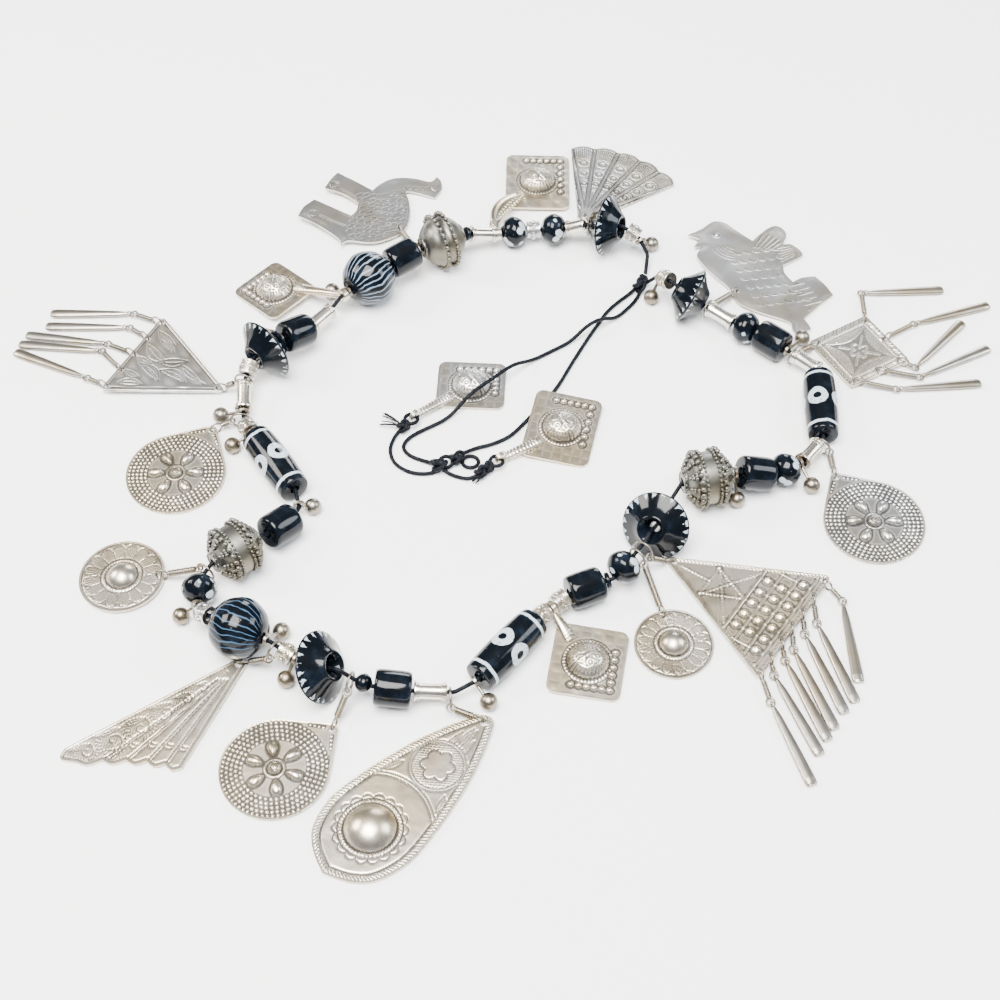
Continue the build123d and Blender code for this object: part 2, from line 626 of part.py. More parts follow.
# outline from the hole as shares of the length; X is from the hind feet to the trunk
ELEPHANT = [
    [(-0.47, 0.51), (-0.51, 0.45), (-0.555, 0.345)],
    [(-0.555, 0.345), (-0.42, 0.29), (-0.305, 0.20)],
    [(-0.305, 0.20), (-0.315, 0.12), (-0.35, 0.065)],
    [(-0.35, 0.065), (-0.50, 0.15), (-0.62, 0.22)],
    [(-0.62, 0.22), (-0.69, 0.14), (-0.725, 0.045)],
    [(-0.725, 0.045), (-0.58, -0.04), (-0.425, -0.175), (-0.41, -0.24)],
    [(-0.41, -0.24), (-0.36, -0.19), (-0.22, -0.20), (-0.115, -0.175), (0.02, -0.08), (0.065, 0.07),
     (0.055, 0.23), (0.03, 0.335), (0.12, 0.325), (0.24, 0.28)],
    [(0.24, 0.28), (0.285, 0.37), (0.28, 0.455), (0.25, 0.505)],
    [(0.25, 0.505), (0.205, 0.45), (0.10, 0.475), (-0.01, 0.48), (-0.095, 0.455), (-0.17, 0.39),
     (-0.21, 0.335)],
    [(-0.21, 0.335), (-0.245, 0.36), (-0.36, 0.44), (-0.47, 0.51)],
]


def elephant():
    """Sheet cut to an elephant that lies on its back, with the trunk out to the right."""
    runs = [[(x * ELEPHANT_LENGTH, y * ELEPHANT_LENGTH) for x, y in run] for run in ELEPHANT]
    return hang_hole(Pos(*ELEPHANT_OFFSET) * sheet(outline(runs)))


BIRD_LENGTH = 56.0
BIRD_OFFSET = (0.8, 0.6)
# outline from the hole as shares of the length; the beak is at the upper left
BIRD = [
    [(-0.32, 0.54), (-0.22, 0.60), (-0.13, 0.68), (-0.045, 0.67), (0.035, 0.59), (0.14, 0.49)],
    [(0.14, 0.49), (0.20, 0.56), (0.26, 0.62), (0.32, 0.65), (0.37, 0.62), (0.39, 0.56), (0.355, 0.465)],
    [(0.355, 0.465), (0.42, 0.46), (0.485, 0.38), (0.46, 0.33), (0.335, 0.25)],
    [(0.335, 0.25), (0.34, 0.17), (0.39, 0.085)],
    [(0.39, 0.085), (0.46, 0.13), (0.55, 0.145)],
    [(0.55, 0.145), (0.61, 0.07), (0.66, -0.035)],
    [(0.66, -0.035), (0.54, -0.15), (0.43, -0.27)],
    [(0.43, -0.27), (0.455, -0.32), (0.47, -0.365)],
    [(0.47, -0.365), (0.41, -0.41), (0.36, -0.43)],
    [(0.36, -0.43), (0.34, -0.37), (0.32, -0.30), (0.12, -0.21), (-0.01, -0.125), (-0.075, 0.025),
     (-0.17, 0.145), (-0.27, 0.325), (-0.21, 0.425)],
    [(-0.21, 0.425), (-0.285, 0.42)],
    [(-0.285, 0.42), (-0.24, 0.50)],
    [(-0.24, 0.50), (-0.32, 0.54)],
]


def bird():
    """Sheet cut to a bird with an open beak, a crest and a tail."""
    runs = [[(x * BIRD_LENGTH, y * BIRD_LENGTH) for x, y in run] for run in BIRD]
    return hang_hole(Pos(*BIRD_OFFSET) * sheet(outline(runs)))


# hangings: what a ring on the thread carries. out is the distance in plan from the thread to
# the amulet's hole and bearing its bearing, turn is the bearing of the amulet's own X axis,
# and reach is from its hole to where its far end rests
HANGINGS = {
    "fan": dict(make=fan, out=14.6, bearing=94, turn=62, reach=FAN_RADIUS),
    "elephant": dict(make=elephant, out=24.0, bearing=112, turn=0, reach=22.0),
    "left_triangle": dict(make=lambda: triangle(**LEFT_TRIANGLE), out=11.8, bearing=172, turn=153,
                          reach=LEFT_TRIANGLE["height"] - 2.2),
    "left_pear": dict(make=pear_disc, out=12.4, bearing=196, turn=241, reach=PEAR_REACH + PEAR_RADIUS),
    "left_flower": dict(make=lambda: flower_disc(LEFT_FLOWER_RADIUS), out=18.7, bearing=171, turn=180,
                        reach=2 * LEFT_FLOWER_RADIUS - FLOWER_HOLE_INSET),
    "wing": dict(make=wing, out=13.2, bearing=190, turn=225, reach=60.0),
    "front_pear": dict(make=pear_disc, out=15.3, bearing=247, turn=219, reach=PEAR_REACH + PEAR_RADIUS),
    "teardrop": dict(make=teardrop, out=14.6, bearing=-42, turn=-133, reach=TEARDROP_LENGTH),
    "right_flower": dict(make=lambda: flower_disc(RIGHT_FLOWER_RADIUS), out=22.6, bearing=-66, turn=-76,
                         reach=2 * RIGHT_FLOWER_RADIUS - FLOWER_HOLE_INSET),
    "big_triangle": dict(make=big_triangle, out=11.6, bearing=0, turn=-35,
                         reach=BIG_TRIANGLE["height"] - 2.2),
    "right_pear": dict(make=pear_disc, out=14.0, bearing=-70, turn=-60, reach=PEAR_REACH + PEAR_RADIUS),
    "square_plate": dict(make=square_plate, out=14.4, bearing=40, turn=-15,
                         reach=SQUARE_PLATE_SIDE * math.sqrt(2) - 2 * SQUARE_PLATE_INSET),
    "bird": dict(make=bird, out=20.0, bearing=48, turn=0, reach=38.0),
}

# height of the underside of an amulet's far end, where it rests on its own rods' links
FAR_LIFT = {"left_triangle": 1.8, "square_plate": 1.8, "big_triangle": 2.4}


def link(length, width=LINK_BODY):
    """Link of wrapped wire along X: a level loop round the origin, a body, and an upright,
    larger loop for the hole of a plate."""
    body = length - LOOP_RADIUS - PLATE_LOOP
    solid = ring(LOOP_RADIUS, LINK_WIRE)
    solid += Pos(length, 0, 0) * Rot(90, 0, 0) * ring(PLATE_LOOP, LINK_WIRE)
    thickness = width if body > 2 * LINK_WIRE else 2 * LINK_WIRE
    solid += Pos(LOOP_RADIUS + body / 2, 0, 0) * Rot(0, 90, 0) * Cylinder(thickness / 2, body)
    return solid


def plate_frame(hole, turn, far_drop, reach):
    """Frame of an amulet whose middle plane at the hole is at the given point and whose far
    end is lower by the given drop."""
    fall = math.degrees(math.asin(max(-0.6, min(0.6, far_drop / reach))))
    along = bearing_vector(turn, fall)
    frame = frame_at(hole, along)
    return frame.offset(-PLATE / 2)


def hang(name):
    """Ring on the thread, its link and the amulet, each in its place; then the amulet's frame."""
    row = HANGINGS[name]
    place, direction = HELD[name]
    bearing = bearing_vector(row["bearing"])
    outward = bearing - direction * bearing.dot(direction)
    outward = Vector(outward.X, outward.Y, 0).normalized()
    play = RING_RADIUS - WIRE / 2 - THREAD_DIAMETER / 2 - BORE_CLEARANCE
    lowest_centre = RING_RADIUS + WIRE / 2 + FLOOR_GAP
    drop = min(0.9 * play, max(-0.8 * play, place.Z - lowest_centre))
    centre = place + outward * math.sqrt(play ** 2 - drop ** 2) + Vector(0, 0, -drop)
    hoop = frame_at(centre, outward).location * Rot(90, 0, 0) * ring(RING_RADIUS, WIRE)
    upright = PLATE_LOOP + LINK_WIRE / 2 + FLOOR_GAP
    slant = math.radians(LOOP_SLANT)
    hole = place + bearing * row["out"]
    hole.Z = upright - PLATE_LOOP * math.sin(slant)
    last = hole + Vector(0, 0, upright - hole.Z) - bearing * PLATE_LOOP * math.cos(slant)
    sink = min(RING_SINK, max(-RING_SINK, (centre.Z - last.Z) / (centre - last).length))
    level = math.sqrt(1 - sink ** 2)
    held = centre + outward * RING_RADIUS * level + Vector(0, 0, -RING_RADIUS * sink)
    upward = outward * sink + Vector(0, 0, level)
    chain = frame_at(held, last - held, upward).location * link((last - held).length)
    far = FAR_LIFT.get(name, FLOOR_GAP) + PLATE / 2
    frame = plate_frame(hole, row["turn"], hole.Z - far, row["reach"])
    return hoop, chain, frame.location * row["make"](), frame


# domed square amulets on the string: width and height, bearing of their local X axis, the
# place of their middle, in plan from the point that holds them, and the bearing that the
# plate rises to, with its tilt; a bail that isn't straight has its knee there too
SQUARES = {
    "top_square": dict(width=26.0, height=33.0, turn=-1, middle=(16.2, 36.4), rises=250, tilt=2.0,
                       knee=(-1.6, 8.4)),
    "left_square": dict(width=24.6, height=22.6, turn=136, middle=(-28.1, 10.8), rises=-20, tilt=6.0),
    "front_square": dict(width=27.0, height=24.6, turn=-100, middle=(12.2, -18.7), rises=125, tilt=2.0),
}
SQUARE_CORNER = 3.0
SQUARE_DOME = 7.4
SQUARE_DOME_HEIGHT = 4.8
SQUARE_DOTS = 6
SQUARE_DOT = 1.15
SQUARE_DOT_INSET = 3.6
BAIL_FOOT = 4.6
BAIL_FOOT_THICKNESS = 1.8
BAIL_NECK = 3.0
BAIL_FLATNESS = 0.77
BAIL_SHARE = 0.27


def square_amulet(width, height):
    """Plate with rounded corners, a dome in the middle and two rows of dots along the sides
    away from its bail. Its middle is at the origin and its bail's corner at minus X, minus Y."""
    solid = sheet(RectangleRounded(width, height, SQUARE_CORNER))
    top = Pos(0, 0, PLATE)
    solid += top * cap(SQUARE_DOME, SQUARE_DOME_HEIGHT)
    side_x = width / 2 - SQUARE_DOT_INSET
    side_y = height / 2 - SQUARE_DOT_INSET
    for dot in range(SQUARE_DOTS):
        share = 1 - 1.5 * dot / (SQUARE_DOTS - 1)
        solid += top * Pos(side_x, share * side_y) * Sphere(SQUARE_DOT)
        if dot:
            solid += top * Pos(share * side_x, side_y) * Sphere(SQUARE_DOT)
    return solid - Pos(0, 0, -SQUARE_DOT) * Box(width, height, 2 * SQUARE_DOT)


def square_hung(row, eye, direction):
    """Square amulet whose bail ends in an eye round the thread or cord at a point, and whose
    plate leans up from its lowest corner, which rests on the table."""
    tilt = math.radians(row["tilt"])
    uphill = bearing_vector(row["rises"])
    local_x = bearing_vector(row["turn"])
    local_y = bearing_vector(row["turn"] + 90)
    reach = (abs(row["width"] / 2 * uphill.dot(local_x)) + abs(row["height"] / 2 * uphill.dot(local_y)))
    normal = Vector(0, 0, 1) * math.cos(tilt) - uphill * math.sin(tilt)
    plate = Plane(origin=Vector(eye.X + row["middle"][0], eye.Y + row["middle"][1],
                                FLOOR_GAP + reach * math.sin(tilt)),
                  x_dir=local_x - normal * local_x.dot(normal), z_dir=normal)
    solid = plate.location * square_amulet(row["width"], row["height"])
    foot = plate.from_local_coords(Vector(-BAIL_SHARE * row["width"], -BAIL_SHARE * row["height"],
                                          PLATE + BAIL_FOOT_THICKNESS / 4))
    knee = eye + Vector(*row["knee"]) if "knee" in row else lerp(eye, foot, 0.45)
    first = Plane(origin=eye, z_dir=knee - eye)
    middle = Plane(origin=knee, z_dir=(knee - eye).normalized() + (foot - knee).normalized())
    last = Plane(origin=foot, z_dir=foot - knee)
    solid += loft([first.offset(EYE_DIAMETER / 2 - 0.8) * Circle(EYE_WIDTH / 2 - 0.1),
                   middle * Ellipse(BAIL_NECK / 2, BAIL_NECK / 2 * BAIL_FLATNESS),
                   last * Ellipse(BAIL_FOOT / 2, BAIL_FOOT_THICKNESS / 2)])
    hoop = frame_at(eye, direction).location * Rot(0, 90, 0)
    solid += hoop * Cylinder(EYE_DIAMETER / 2, EYE_WIDTH)
    return solid - hoop * Cylinder(THREAD_DIAMETER / 2 + BORE_CLEARANCE, EYE_WIDTH * 2)


# the cord tails and their knots: points of each tail from the closing knot to the tie knot


TAIL_HEIGHT = CORD_DIAMETER / 2 + FLOOR_GAP
CROSSING = TAIL_HEIGHT + CORD_DIAMETER + 3.1
OVER_AMULET = 6.3
TAIL_BEND = 7.5
IN_KNOT = 1.7
TAIL_UPPER = [
    (53.3, 104.2, IN_KNOT), (50.4, 101.4, TAIL_HEIGHT), (47.0, 98.4, TAIL_HEIGHT), (41.6, 92.4, TAIL_HEIGHT),
    (37.3, 84.6, TAIL_HEIGHT), (32.1, 74.9, TAIL_HEIGHT), (26.5, 63.6, TAIL_HEIGHT),
    (21.4, 52.5, TAIL_HEIGHT), (15.2, 43.6, TAIL_HEIGHT), (8.9, 35.3, TAIL_HEIGHT),
    (3.6, 28.6, TAIL_HEIGHT), (-3.4, 24.9, TAIL_HEIGHT), (-9.4, 23.3, TAIL_HEIGHT), (-14.3, 19.7, IN_KNOT),
]
TAIL_LOWER = [
    (55.4, 103.2, IN_KNOT), (53.6, 99.2, TAIL_HEIGHT), (50.0, 94.2, TAIL_HEIGHT), (44.6, 88.3, TAIL_HEIGHT),
    (38.9, 84.3, CROSSING), (32.9, 80.1, CROSSING), (27.2, 76.3, TAIL_HEIGHT),
    (19.5, 71.3, TAIL_HEIGHT), (12.4, 66.6, TAIL_HEIGHT), (4.9, 59.8, OVER_AMULET),
    (-3.2, 52.0, OVER_AMULET), (-11.2, 45.0, OVER_AMULET), (-18.6, 37.9, TAIL_HEIGHT),
    (-26.6, 33.0, TAIL_HEIGHT), (-33.0, 28.9, TAIL_HEIGHT), (-35.8, 24.2, TAIL_HEIGHT),
    (-33.6, 20.2, TAIL_HEIGHT), (-28.6, 17.6, TAIL_HEIGHT), (-23.6, 15.4, IN_KNOT),
]
# short ends that come out of the tie knot and hold the two middle amulets
END_UPPER = [(-20.6, 12.6, 1.6), (-16.4, 10.4, TAIL_HEIGHT), (-11.4, 9.2, TAIL_HEIGHT), (-6.6, 11.0, 1.6)]
END_LOWER = [(-21.6, 12.6, 1.6), (-26.4, 11.4, TAIL_HEIGHT), (-32.6, 12.2, TAIL_HEIGHT),
             (-38.0, 16.2, TAIL_HEIGHT), (-40.0, 22.4, TAIL_HEIGHT), (-38.6, 28.6, TAIL_HEIGHT),
             (-35.5, 32.8, 1.6)]
END_BEND = 4.5
# lumps of the knots: middle in plan, half length, radius, bearing of the length
CLOSING_LUMPS = [((54.9, 105.0), 3.4, 2.6, 60), ((56.2, 108.6), 2.4, 1.9, 80)]
TIE_LUMPS = [((-21.2, 14.6), 4.6, 2.8, 20), ((-15.6, 17.6), 3.4, 2.4, 30)]
UPPER_LUMPS = [((-4.5, 13.2), 2.6, 2.3, 38), ((-6.9, 10.9), 2.7, 2.2, 45)]
LOWER_LUMPS = [((-35.5, 32.7), 2.7, 2.3, 44)]
BIGHT_MIDDLE = (-10.7, 16.9)
BIGHT_RADIUS = 2.5
KNOT_CLEARANCE = 0.15
CORD_LOOP = 2.35
CENTRE_SQUARES = {
    "centre_square": dict(eye=(0.6, 17.0, 2.9), bail=38, width=25.0, height=31.0, turn=-13,
                          middle=(22.1, 15.1), rises=125, tilt=3.6),
    "centre_left_square": dict(eye=(-31.0, 37.2, 2.9), bail=44, width=25.5, height=22.5, turn=-3,
                               middle=(20.2, 16.8), rises=220, tilt=0.3),
}


# a lump's profile: shares of its half length and of its radius
LUMP = [(1, 0), (1, 0.35), (0.6, 0.86), (0, 1), (-0.6, 0.86), (-1, 0.35), (-1, 0)]


def lump(middle, half_length, radius, bearing):
    """Lump of a knot that lies on the table."""
    points = [(along * half_length, out * radius) for along, out in LUMP]
    solid = revolve(make_face(Polyline(*points, points[0])), Axis.X, 360)
    return Pos(*middle, radius + FLOOR_GAP) * Rot(0, 0, bearing) * solid


def socket(points, diameter):
    """Cutter for the hole in a knot that the end of a cord stands in."""
    first, second = Vector(*points[0]), Vector(*points[1])
    inward = (first - second).normalized()
    start = first + inward * KNOT_CLEARANCE
    depth = 8 * diameter
    return Plane(origin=start - inward * depth / 2, z_dir=inward).location * Cylinder(
        diameter / 2 + KNOT_CLEARANCE, depth)


def cord_eye(row):
    """Point in the eye of a middle amulet, and the direction that the cord passes through it."""
    return Vector(*row["eye"]), bearing_vector(row["bail"] + 90)


def cord_loop(row):
    """Level loop of cord through the eye of a middle amulet's bail."""
    eye, through = cord_eye(row)
    return Pos(*(eye - bearing_vector(row["bail"]) * CORD_LOOP)) * ring(CORD_LOOP, CORD_DIAMETER)


def tie_knot():
    """The knot that ties the tails, with its bight, its two short ends and their end knots."""
    solid = Pos(*BIGHT_MIDDLE, TAIL_HEIGHT) * ring(BIGHT_RADIUS, CORD_DIAMETER)
    for row in TIE_LUMPS + UPPER_LUMPS + LOWER_LUMPS:
        solid += lump(*row)
    for points in (END_UPPER, END_LOWER):
        corners = [Vector(*point) for point in points]
        solid += tube_along(corners, CORD_DIAMETER, bends_of(corners, END_BEND))
    for row in CENTRE_SQUARES.values():
        solid += cord_loop(row)
    for tail in (TAIL_UPPER, TAIL_LOWER):
        solid -= socket(tail[::-1], CORD_DIAMETER)
    return solid


def closing_knot(thread_ends):
    """The knot that closes the string, where both ends of the thread and both tails meet."""
    solid = lump(*CLOSING_LUMPS[0])
    for row in CLOSING_LUMPS[1:]:
        solid += lump(*row)
    for points in (TAIL_UPPER, TAIL_LOWER):
        solid -= socket(points, CORD_DIAMETER)
    for points in thread_ends:
        solid -= socket(points, THREAD_DIAMETER)
    return solid


# rods that hang from the plates: number of the hole, length and bearing of the link,
# bearing of the rod
RODS = {
    "left_triangle": [(4, 11.0, 153, 179), (3, 8.6, 141, 178), (2, 11.0, 151, 171), (1, 12.0, 130, 173),
                      (0, 8.0, 149, 155)],
    "square_plate": [(0, 14.0, 88, 4), (1, 14.0, 34, 19), (2, 5.0, -24, 48), (3, 14.0, -10, 28),
                     (4, 14.0, -12, 6)],
    "big_triangle": [(0, 7.6, -52, -87), (1, 8.6, -88, -73), (2, 7.0, -90, -72), (3, 7.2, -91, -71),
                     (4, 5.6, -84, -70), (5, 5.4, -84, -68), (6, 10.0, -76, -71)],
}


def rod():
    """Hanging rod along X: a loop, a thin neck and a flattened body that widens to its end."""
    neck = ROD_LOOP
    shares = [(0.16, 0.62, 0.85), (0.55, 0.86, 1.0), (0.92, 1.0, 1.0), (0.98, 0.93, 0.86), (1.0, 0.74, 0.56)]
    sections = [(neck, ROD_NECK, ROD_NECK)] + [(along * ROD_LENGTH, wide * ROD_WIDTH, thick * ROD_THICKNESS)
                                               for along, wide, thick in shares]
    body = loft([Plane(origin=(x, 0, 0), x_dir=(0, 0, 1), z_dir=(1, 0, 0)) * Ellipse(thick / 2, wide / 2)
                 for x, wide, thick in sections], ruled=True)
    return body + Rot(90, 0, 0) * ring(ROD_LOOP, LINK_WIRE)


def hung_rods(name, frame, holes):
    """Links and rods of a plate, each link through its hole and each rod on its link."""
    links = []
    rods = []
    upright = PLATE_LOOP + LINK_WIRE / 2 + FLOOR_GAP
    level = ROD_LOOP + LINK_WIRE / 2 + FLOOR_GAP
    for hole, length, bearing, rod_bearing in RODS[name]:
        place = frame.from_local_coords(Vector(holes[hole].X, holes[hole].Y, PLATE / 2))
        side = bearing_vector(bearing)
        height = max(upright, place.Z)
        across = math.sqrt(PLATE_LOOP ** 2 - (height - place.Z) ** 2)
        first = Vector(place.X, place.Y) + side * across + Vector(0, 0, height)
        fall = math.degrees(math.asin((height - level) / length))
        along = bearing_vector(bearing, fall)
        turned = frame_at(first + along * length, along * -1)
        links.append(turned.location * link(length, ROD_LINK_BODY))
        start = first + along * length + bearing_vector(rod_bearing) * LOOP_RADIUS
        drop = math.degrees(math.asin((start.Z - ROD_THICKNESS / 2 - FLOOR_GAP) / ROD_LENGTH))
        rods.append(frame_at(start, bearing_vector(rod_bearing, drop)).location * rod())
    return links, rods


def same_place(shapes, shift):
    """The shapes, moved by the shift, as one compound of separate solids."""
    solids = [solid.moved(Location(shift)) for shape in shapes for solid in shape.solids()]
    return solids[0] if len(solids) == 1 else Compound(children=solids)


NODES = {}


def add(name, *shapes):
    """Put solids in a node."""
    NODES.setdefault(name, []).extend(shapes)


GROUPED = {"silver_tube": "silver_tubes", "short_tube": "silver_tubes", "silver_spacer": "silver_spacers",
           "black_ring": "small_black_beads", "dark_bead": "small_black_beads"}
counts = {}
for row, (start, end) in zip(STRING, BEADS):
    kind = row["kind"]
    if kind == "bare":
        continue
    counts[kind] = counts.get(kind, 0) + 1
    add(GROUPED.get(kind, f"{kind}_{counts[kind]}"), make_bead(row, start, end))

for name, (bearing, rise) in BALLS.items():
    add("ball_drops", make_ball_drop(*HELD[name], bearing, rise))

line = thread_points()
bends = bends_of(line, THREAD_BEND)
print("thread bends, smallest", round(min(bends), 1))
add("thread", tube_along(line, THREAD_DIAMETER, bends))

for name in HANGINGS:
    hoop, chain, amulet, frame = hang(name)
    add("amulet_rings", hoop)
    add("amulet_links", chain)
    add(name, amulet)
    if name in RODS:
        holes = plate_holes() if name == "square_plate" else triangle_holes(
            **(LEFT_TRIANGLE if name == "left_triangle" else BIG_TRIANGLE))
        links, rods = hung_rods(name, frame, holes)
        add("rod_links", *links)
        add(f"{name}_rods", *rods)

for name, row in SQUARES.items():
    add(name, square_hung(row, *HELD[name]))

add("closing_knot", closing_knot([[Vector(*point) for point in line[:2]],
                                  [Vector(*point) for point in line[:-3:-1]]]))
BODY_NODES = list(NODES)

add("tie_knot", tie_knot())
for name, row in CENTRE_SQUARES.items():
    add(name, square_hung(row, *cord_eye(row)))
for name, points in (("tail_upper", TAIL_UPPER), ("tail_lower", TAIL_LOWER)):
    corners = [Vector(*point) for point in points]
    radii = bends_of(corners, TAIL_BEND)
    tail = tube_along(corners, CORD_DIAMETER, radii)
    print(name, "length", round(tail.volume / (math.pi * CORD_DIAMETER ** 2 / 4), 1),
          "bends", [round(radius, 1) for radius in radii])
    add(name, tail)

bodies = Compound(children=[solid for name in BODY_NODES for shape in NODES[name]
                            for solid in shape.solids()])
box = bodies.bounding_box()
SHIFT = Vector(-(box.min.X + box.max.X) / 2, -(box.min.Y + box.max.Y) / 2, -box.min.Z)
print("shift", SHIFT, "size", box.size)

os.makedirs("parts", exist_ok=True)
for name, shapes in NODES.items():
    export_step(same_place(shapes, SHIFT), f"parts/{name}.step")
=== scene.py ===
"""Looks of the amulet necklace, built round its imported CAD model.

Plans and profiles are in millimetres and are turned into metres where a mesh is made. A plan
place is in the CAD layout: X to the right, Y away from the front. SHIFT takes it to the row
frame. Every bead and amulet finds its own place and tilt from the CAD node that it covers."""
import math
import random

import bpy
import numpy as np
from mathutils import Matrix, Vector
from mathutils.geometry import delaunay_2d_cdt


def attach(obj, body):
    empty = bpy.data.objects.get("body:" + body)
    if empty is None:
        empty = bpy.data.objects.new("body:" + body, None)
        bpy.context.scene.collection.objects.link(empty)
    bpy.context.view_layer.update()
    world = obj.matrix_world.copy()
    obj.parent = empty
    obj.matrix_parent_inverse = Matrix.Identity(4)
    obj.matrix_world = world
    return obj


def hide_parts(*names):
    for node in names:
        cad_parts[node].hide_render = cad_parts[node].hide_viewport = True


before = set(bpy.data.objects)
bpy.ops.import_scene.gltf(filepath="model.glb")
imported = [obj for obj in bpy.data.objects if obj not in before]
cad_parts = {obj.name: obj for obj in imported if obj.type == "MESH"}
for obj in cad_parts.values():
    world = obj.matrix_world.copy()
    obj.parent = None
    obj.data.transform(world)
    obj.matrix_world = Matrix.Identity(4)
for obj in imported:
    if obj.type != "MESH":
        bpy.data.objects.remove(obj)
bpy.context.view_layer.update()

MM = 0.001
SHIFT = Vector((-2.709, -19.664, 0.143))
UP = Vector((0, 0, 1))
WHOLE_TURN = 2 * math.pi
random.seed(4)

# camera: fitted to the photograph
ELEVATION = 52.0
DISTANCE = 640.0
FOCAL_SHARE = 1792 / 1000
SENSOR = 36.0


def at(x, y, z=0.0):
    """A layout point in millimetres as a point of the row frame in metres."""
    return (Vector((x, y, z)) + SHIFT) * MM


def polar(radius, degrees, middle=(0, 0)):
    """Plan point at a distance and a bearing from a middle."""
    turn = math.radians(degrees)
    return middle[0] + radius * math.cos(turn), middle[1] + radius * math.sin(turn)


def bearing(degrees):
    """Unit vector of a bearing in plan, from X towards Y."""
    return Vector((*polar(1, degrees), 0))


def circle(count, first=0.0):
    """Cosine and sine of turns spread evenly round a circle."""
    turns = [first + WHOLE_TURN * index / count for index in range(count)]
    return [(math.cos(turn), math.sin(turn)) for turn in turns]


def placed(name, data):
    """New object in the scene."""
    obj = bpy.data.objects.new(name, data)
    bpy.context.scene.collection.objects.link(obj)
    return obj


camera = placed("camera", bpy.data.cameras.new("camera"))
camera.data.sensor_width = SENSOR
camera.data.lens = SENSOR * FOCAL_SHARE
camera.data.clip_start = 0.01
tilt = math.radians(ELEVATION)
camera.location = at(0, 0) + Vector((0, -math.cos(tilt), math.sin(tilt))) * DISTANCE * MM
camera.rotation_euler = (math.radians(90) - tilt, 0, 0)
bpy.context.scene.camera = camera


# materials


def feed(socket, value):
    """Feed a node's input with a value, a number, a colour or a vector."""
    if isinstance(value, Value):
        value.tree.links.new(value.socket, socket)
    elif value is not None:
        opaque = isinstance(value, tuple) and len(value) == 3 and socket.type == "RGBA"
        socket.default_value = (*value, 1) if opaque else value


def given(tree, kind, output=0, inputs=None, **settings):
    """Value that a new shader node gives."""
    node = tree.nodes.new("ShaderNode" + kind)
    for name, setting in settings.items():
        setattr(node, name, setting)
    for name, value in (inputs or {}).items():
        feed(node.inputs[name], value)
    return Value(node.outputs[output])


def reckon(operation, *values):
    """Value that a math node works out from others."""
    tree = next(value.tree for value in values if isinstance(value, Value))
    return given(tree, "Math", 0, dict(enumerate(values)), operation=operation)


class Value:
    """What a shader node gives, to reckon with as with a number."""

    def __init__(self, socket):
        self.socket = socket
        self.tree = socket.id_data

    def __add__(self, other):
        return reckon("ADD", self, other)

    def __sub__(self, other):
        return reckon("SUBTRACT", self, other)

    def __rsub__(self, other):
        return reckon("SUBTRACT", other, self)

    def __mul__(self, other):
        return reckon("MULTIPLY", self, other)

    def __abs__(self):
        return reckon("ABSOLUTE", self)

    def zigzag(self, top=0.5):
        """Up from 0 to the top and down again, over and over."""
        return reckon("PINGPONG", self, top)

    def step(self, low, high):
        """0 below low, 1 above high, and smooth between; turned round where low is above high."""
        turned = float(low > high)
        inputs = {"Value": self, "From Min": min(low, high), "From Max": max(low, high),
                  "To Min": turned, "To Max": 1 - turned}
        return given(self.tree, "MapRange", "Result", inputs, interpolation_type="SMOOTHSTEP")


class Paint:
    """A procedural material, put together from small steps."""

    def __init__(self, name):
        self.material = bpy.data.materials.new(name)
        self.material.use_nodes = True
        self.tree = self.material.node_tree
        self.place = given(self.tree, "TexCoord", "Object")

    def parts(self):
        node = self.tree.nodes.new("ShaderNodeSeparateXYZ")
        feed(node.inputs[0], self.place)
        return [Value(output) for output in node.outputs]

    def noise(self, scale, detail=3.0, rough=0.55, place=None):
        return given(self.tree, "TexNoise", 0, {"Vector": place or self.place, "Scale": scale,
                                                "Detail": detail, "Roughness": rough})

    def cells(self, scale):
        return given(self.tree, "TexVoronoi", "Distance", {"Vector": self.place, "Scale": scale})

    def mix(self, share, first, second):
        return given(self.tree, "Mix", 2, {0: share, 6: first, 7: second}, data_type="RGBA")

    def attribute(self, name):
        return given(self.tree, "Attribute", "Fac", attribute_name=name)

    def bump(self, height, distance, strength, normal=None):
        return given(self.tree, "Bump", 0, {"Strength": strength, "Distance": distance,
                                            "Height": height, "Normal": normal})

    def done(self, **inputs):
        shader = self.tree.nodes["Principled BSDF"]
        for name, value in inputs.items():
            feed(shader.inputs[name.replace("_", " ")], value)
        return self.material


# tones that silver takes where it is rubbed
WARMTH = (0.98, 0.90, 0.76)


def silver(name, light, dark, rough, waves=1.0):
    """Worn sheet silver: pale where it is rubbed, with painted shade that darkens it where its relief is low.
    """
    paint = Paint(name)
    patches = paint.noise(70, 4)
    # painted shade: a relief sheet's "low" attribute darkens its grooves and hollows and makes them less
    # metallic and rougher
    painted_groove_shade = reckon("MINIMUM", paint.attribute("low") * (patches * 0.7 + 0.68), 1.0)
    # the painted groove shade together with random tarnish patches
    shade_and_tarnish = reckon("MINIMUM", painted_groove_shade + patches.step(0.50, 0.78) * 0.45, 1.0)
    warm = tuple(share * tone for share, tone in zip(light, WARMTH))
    rubbed = paint.mix(paint.noise(38, 3).step(0.42, 0.62), light, warm)
    lengthwise = given(paint.tree, "Mapping", 0, {"Vector": paint.place, "Scale": (1, 0.10, 1)})
    surface = paint.bump(paint.noise(150, 2), 0.0004 * waves, 0.35)
    surface = paint.bump(paint.noise(1100, 3), 0.00004, 0.4, surface)
    surface = paint.bump(paint.noise(900, 2, place=lengthwise), 0.00003, 0.5, surface)
    return paint.done(Base_Color=paint.mix(shade_and_tarnish, rubbed, dark), Metallic=1.0 - painted_groove_shade * 0.85,
                      Roughness=(patches + painted_groove_shade) * 0.24 + rough, Normal=surface)


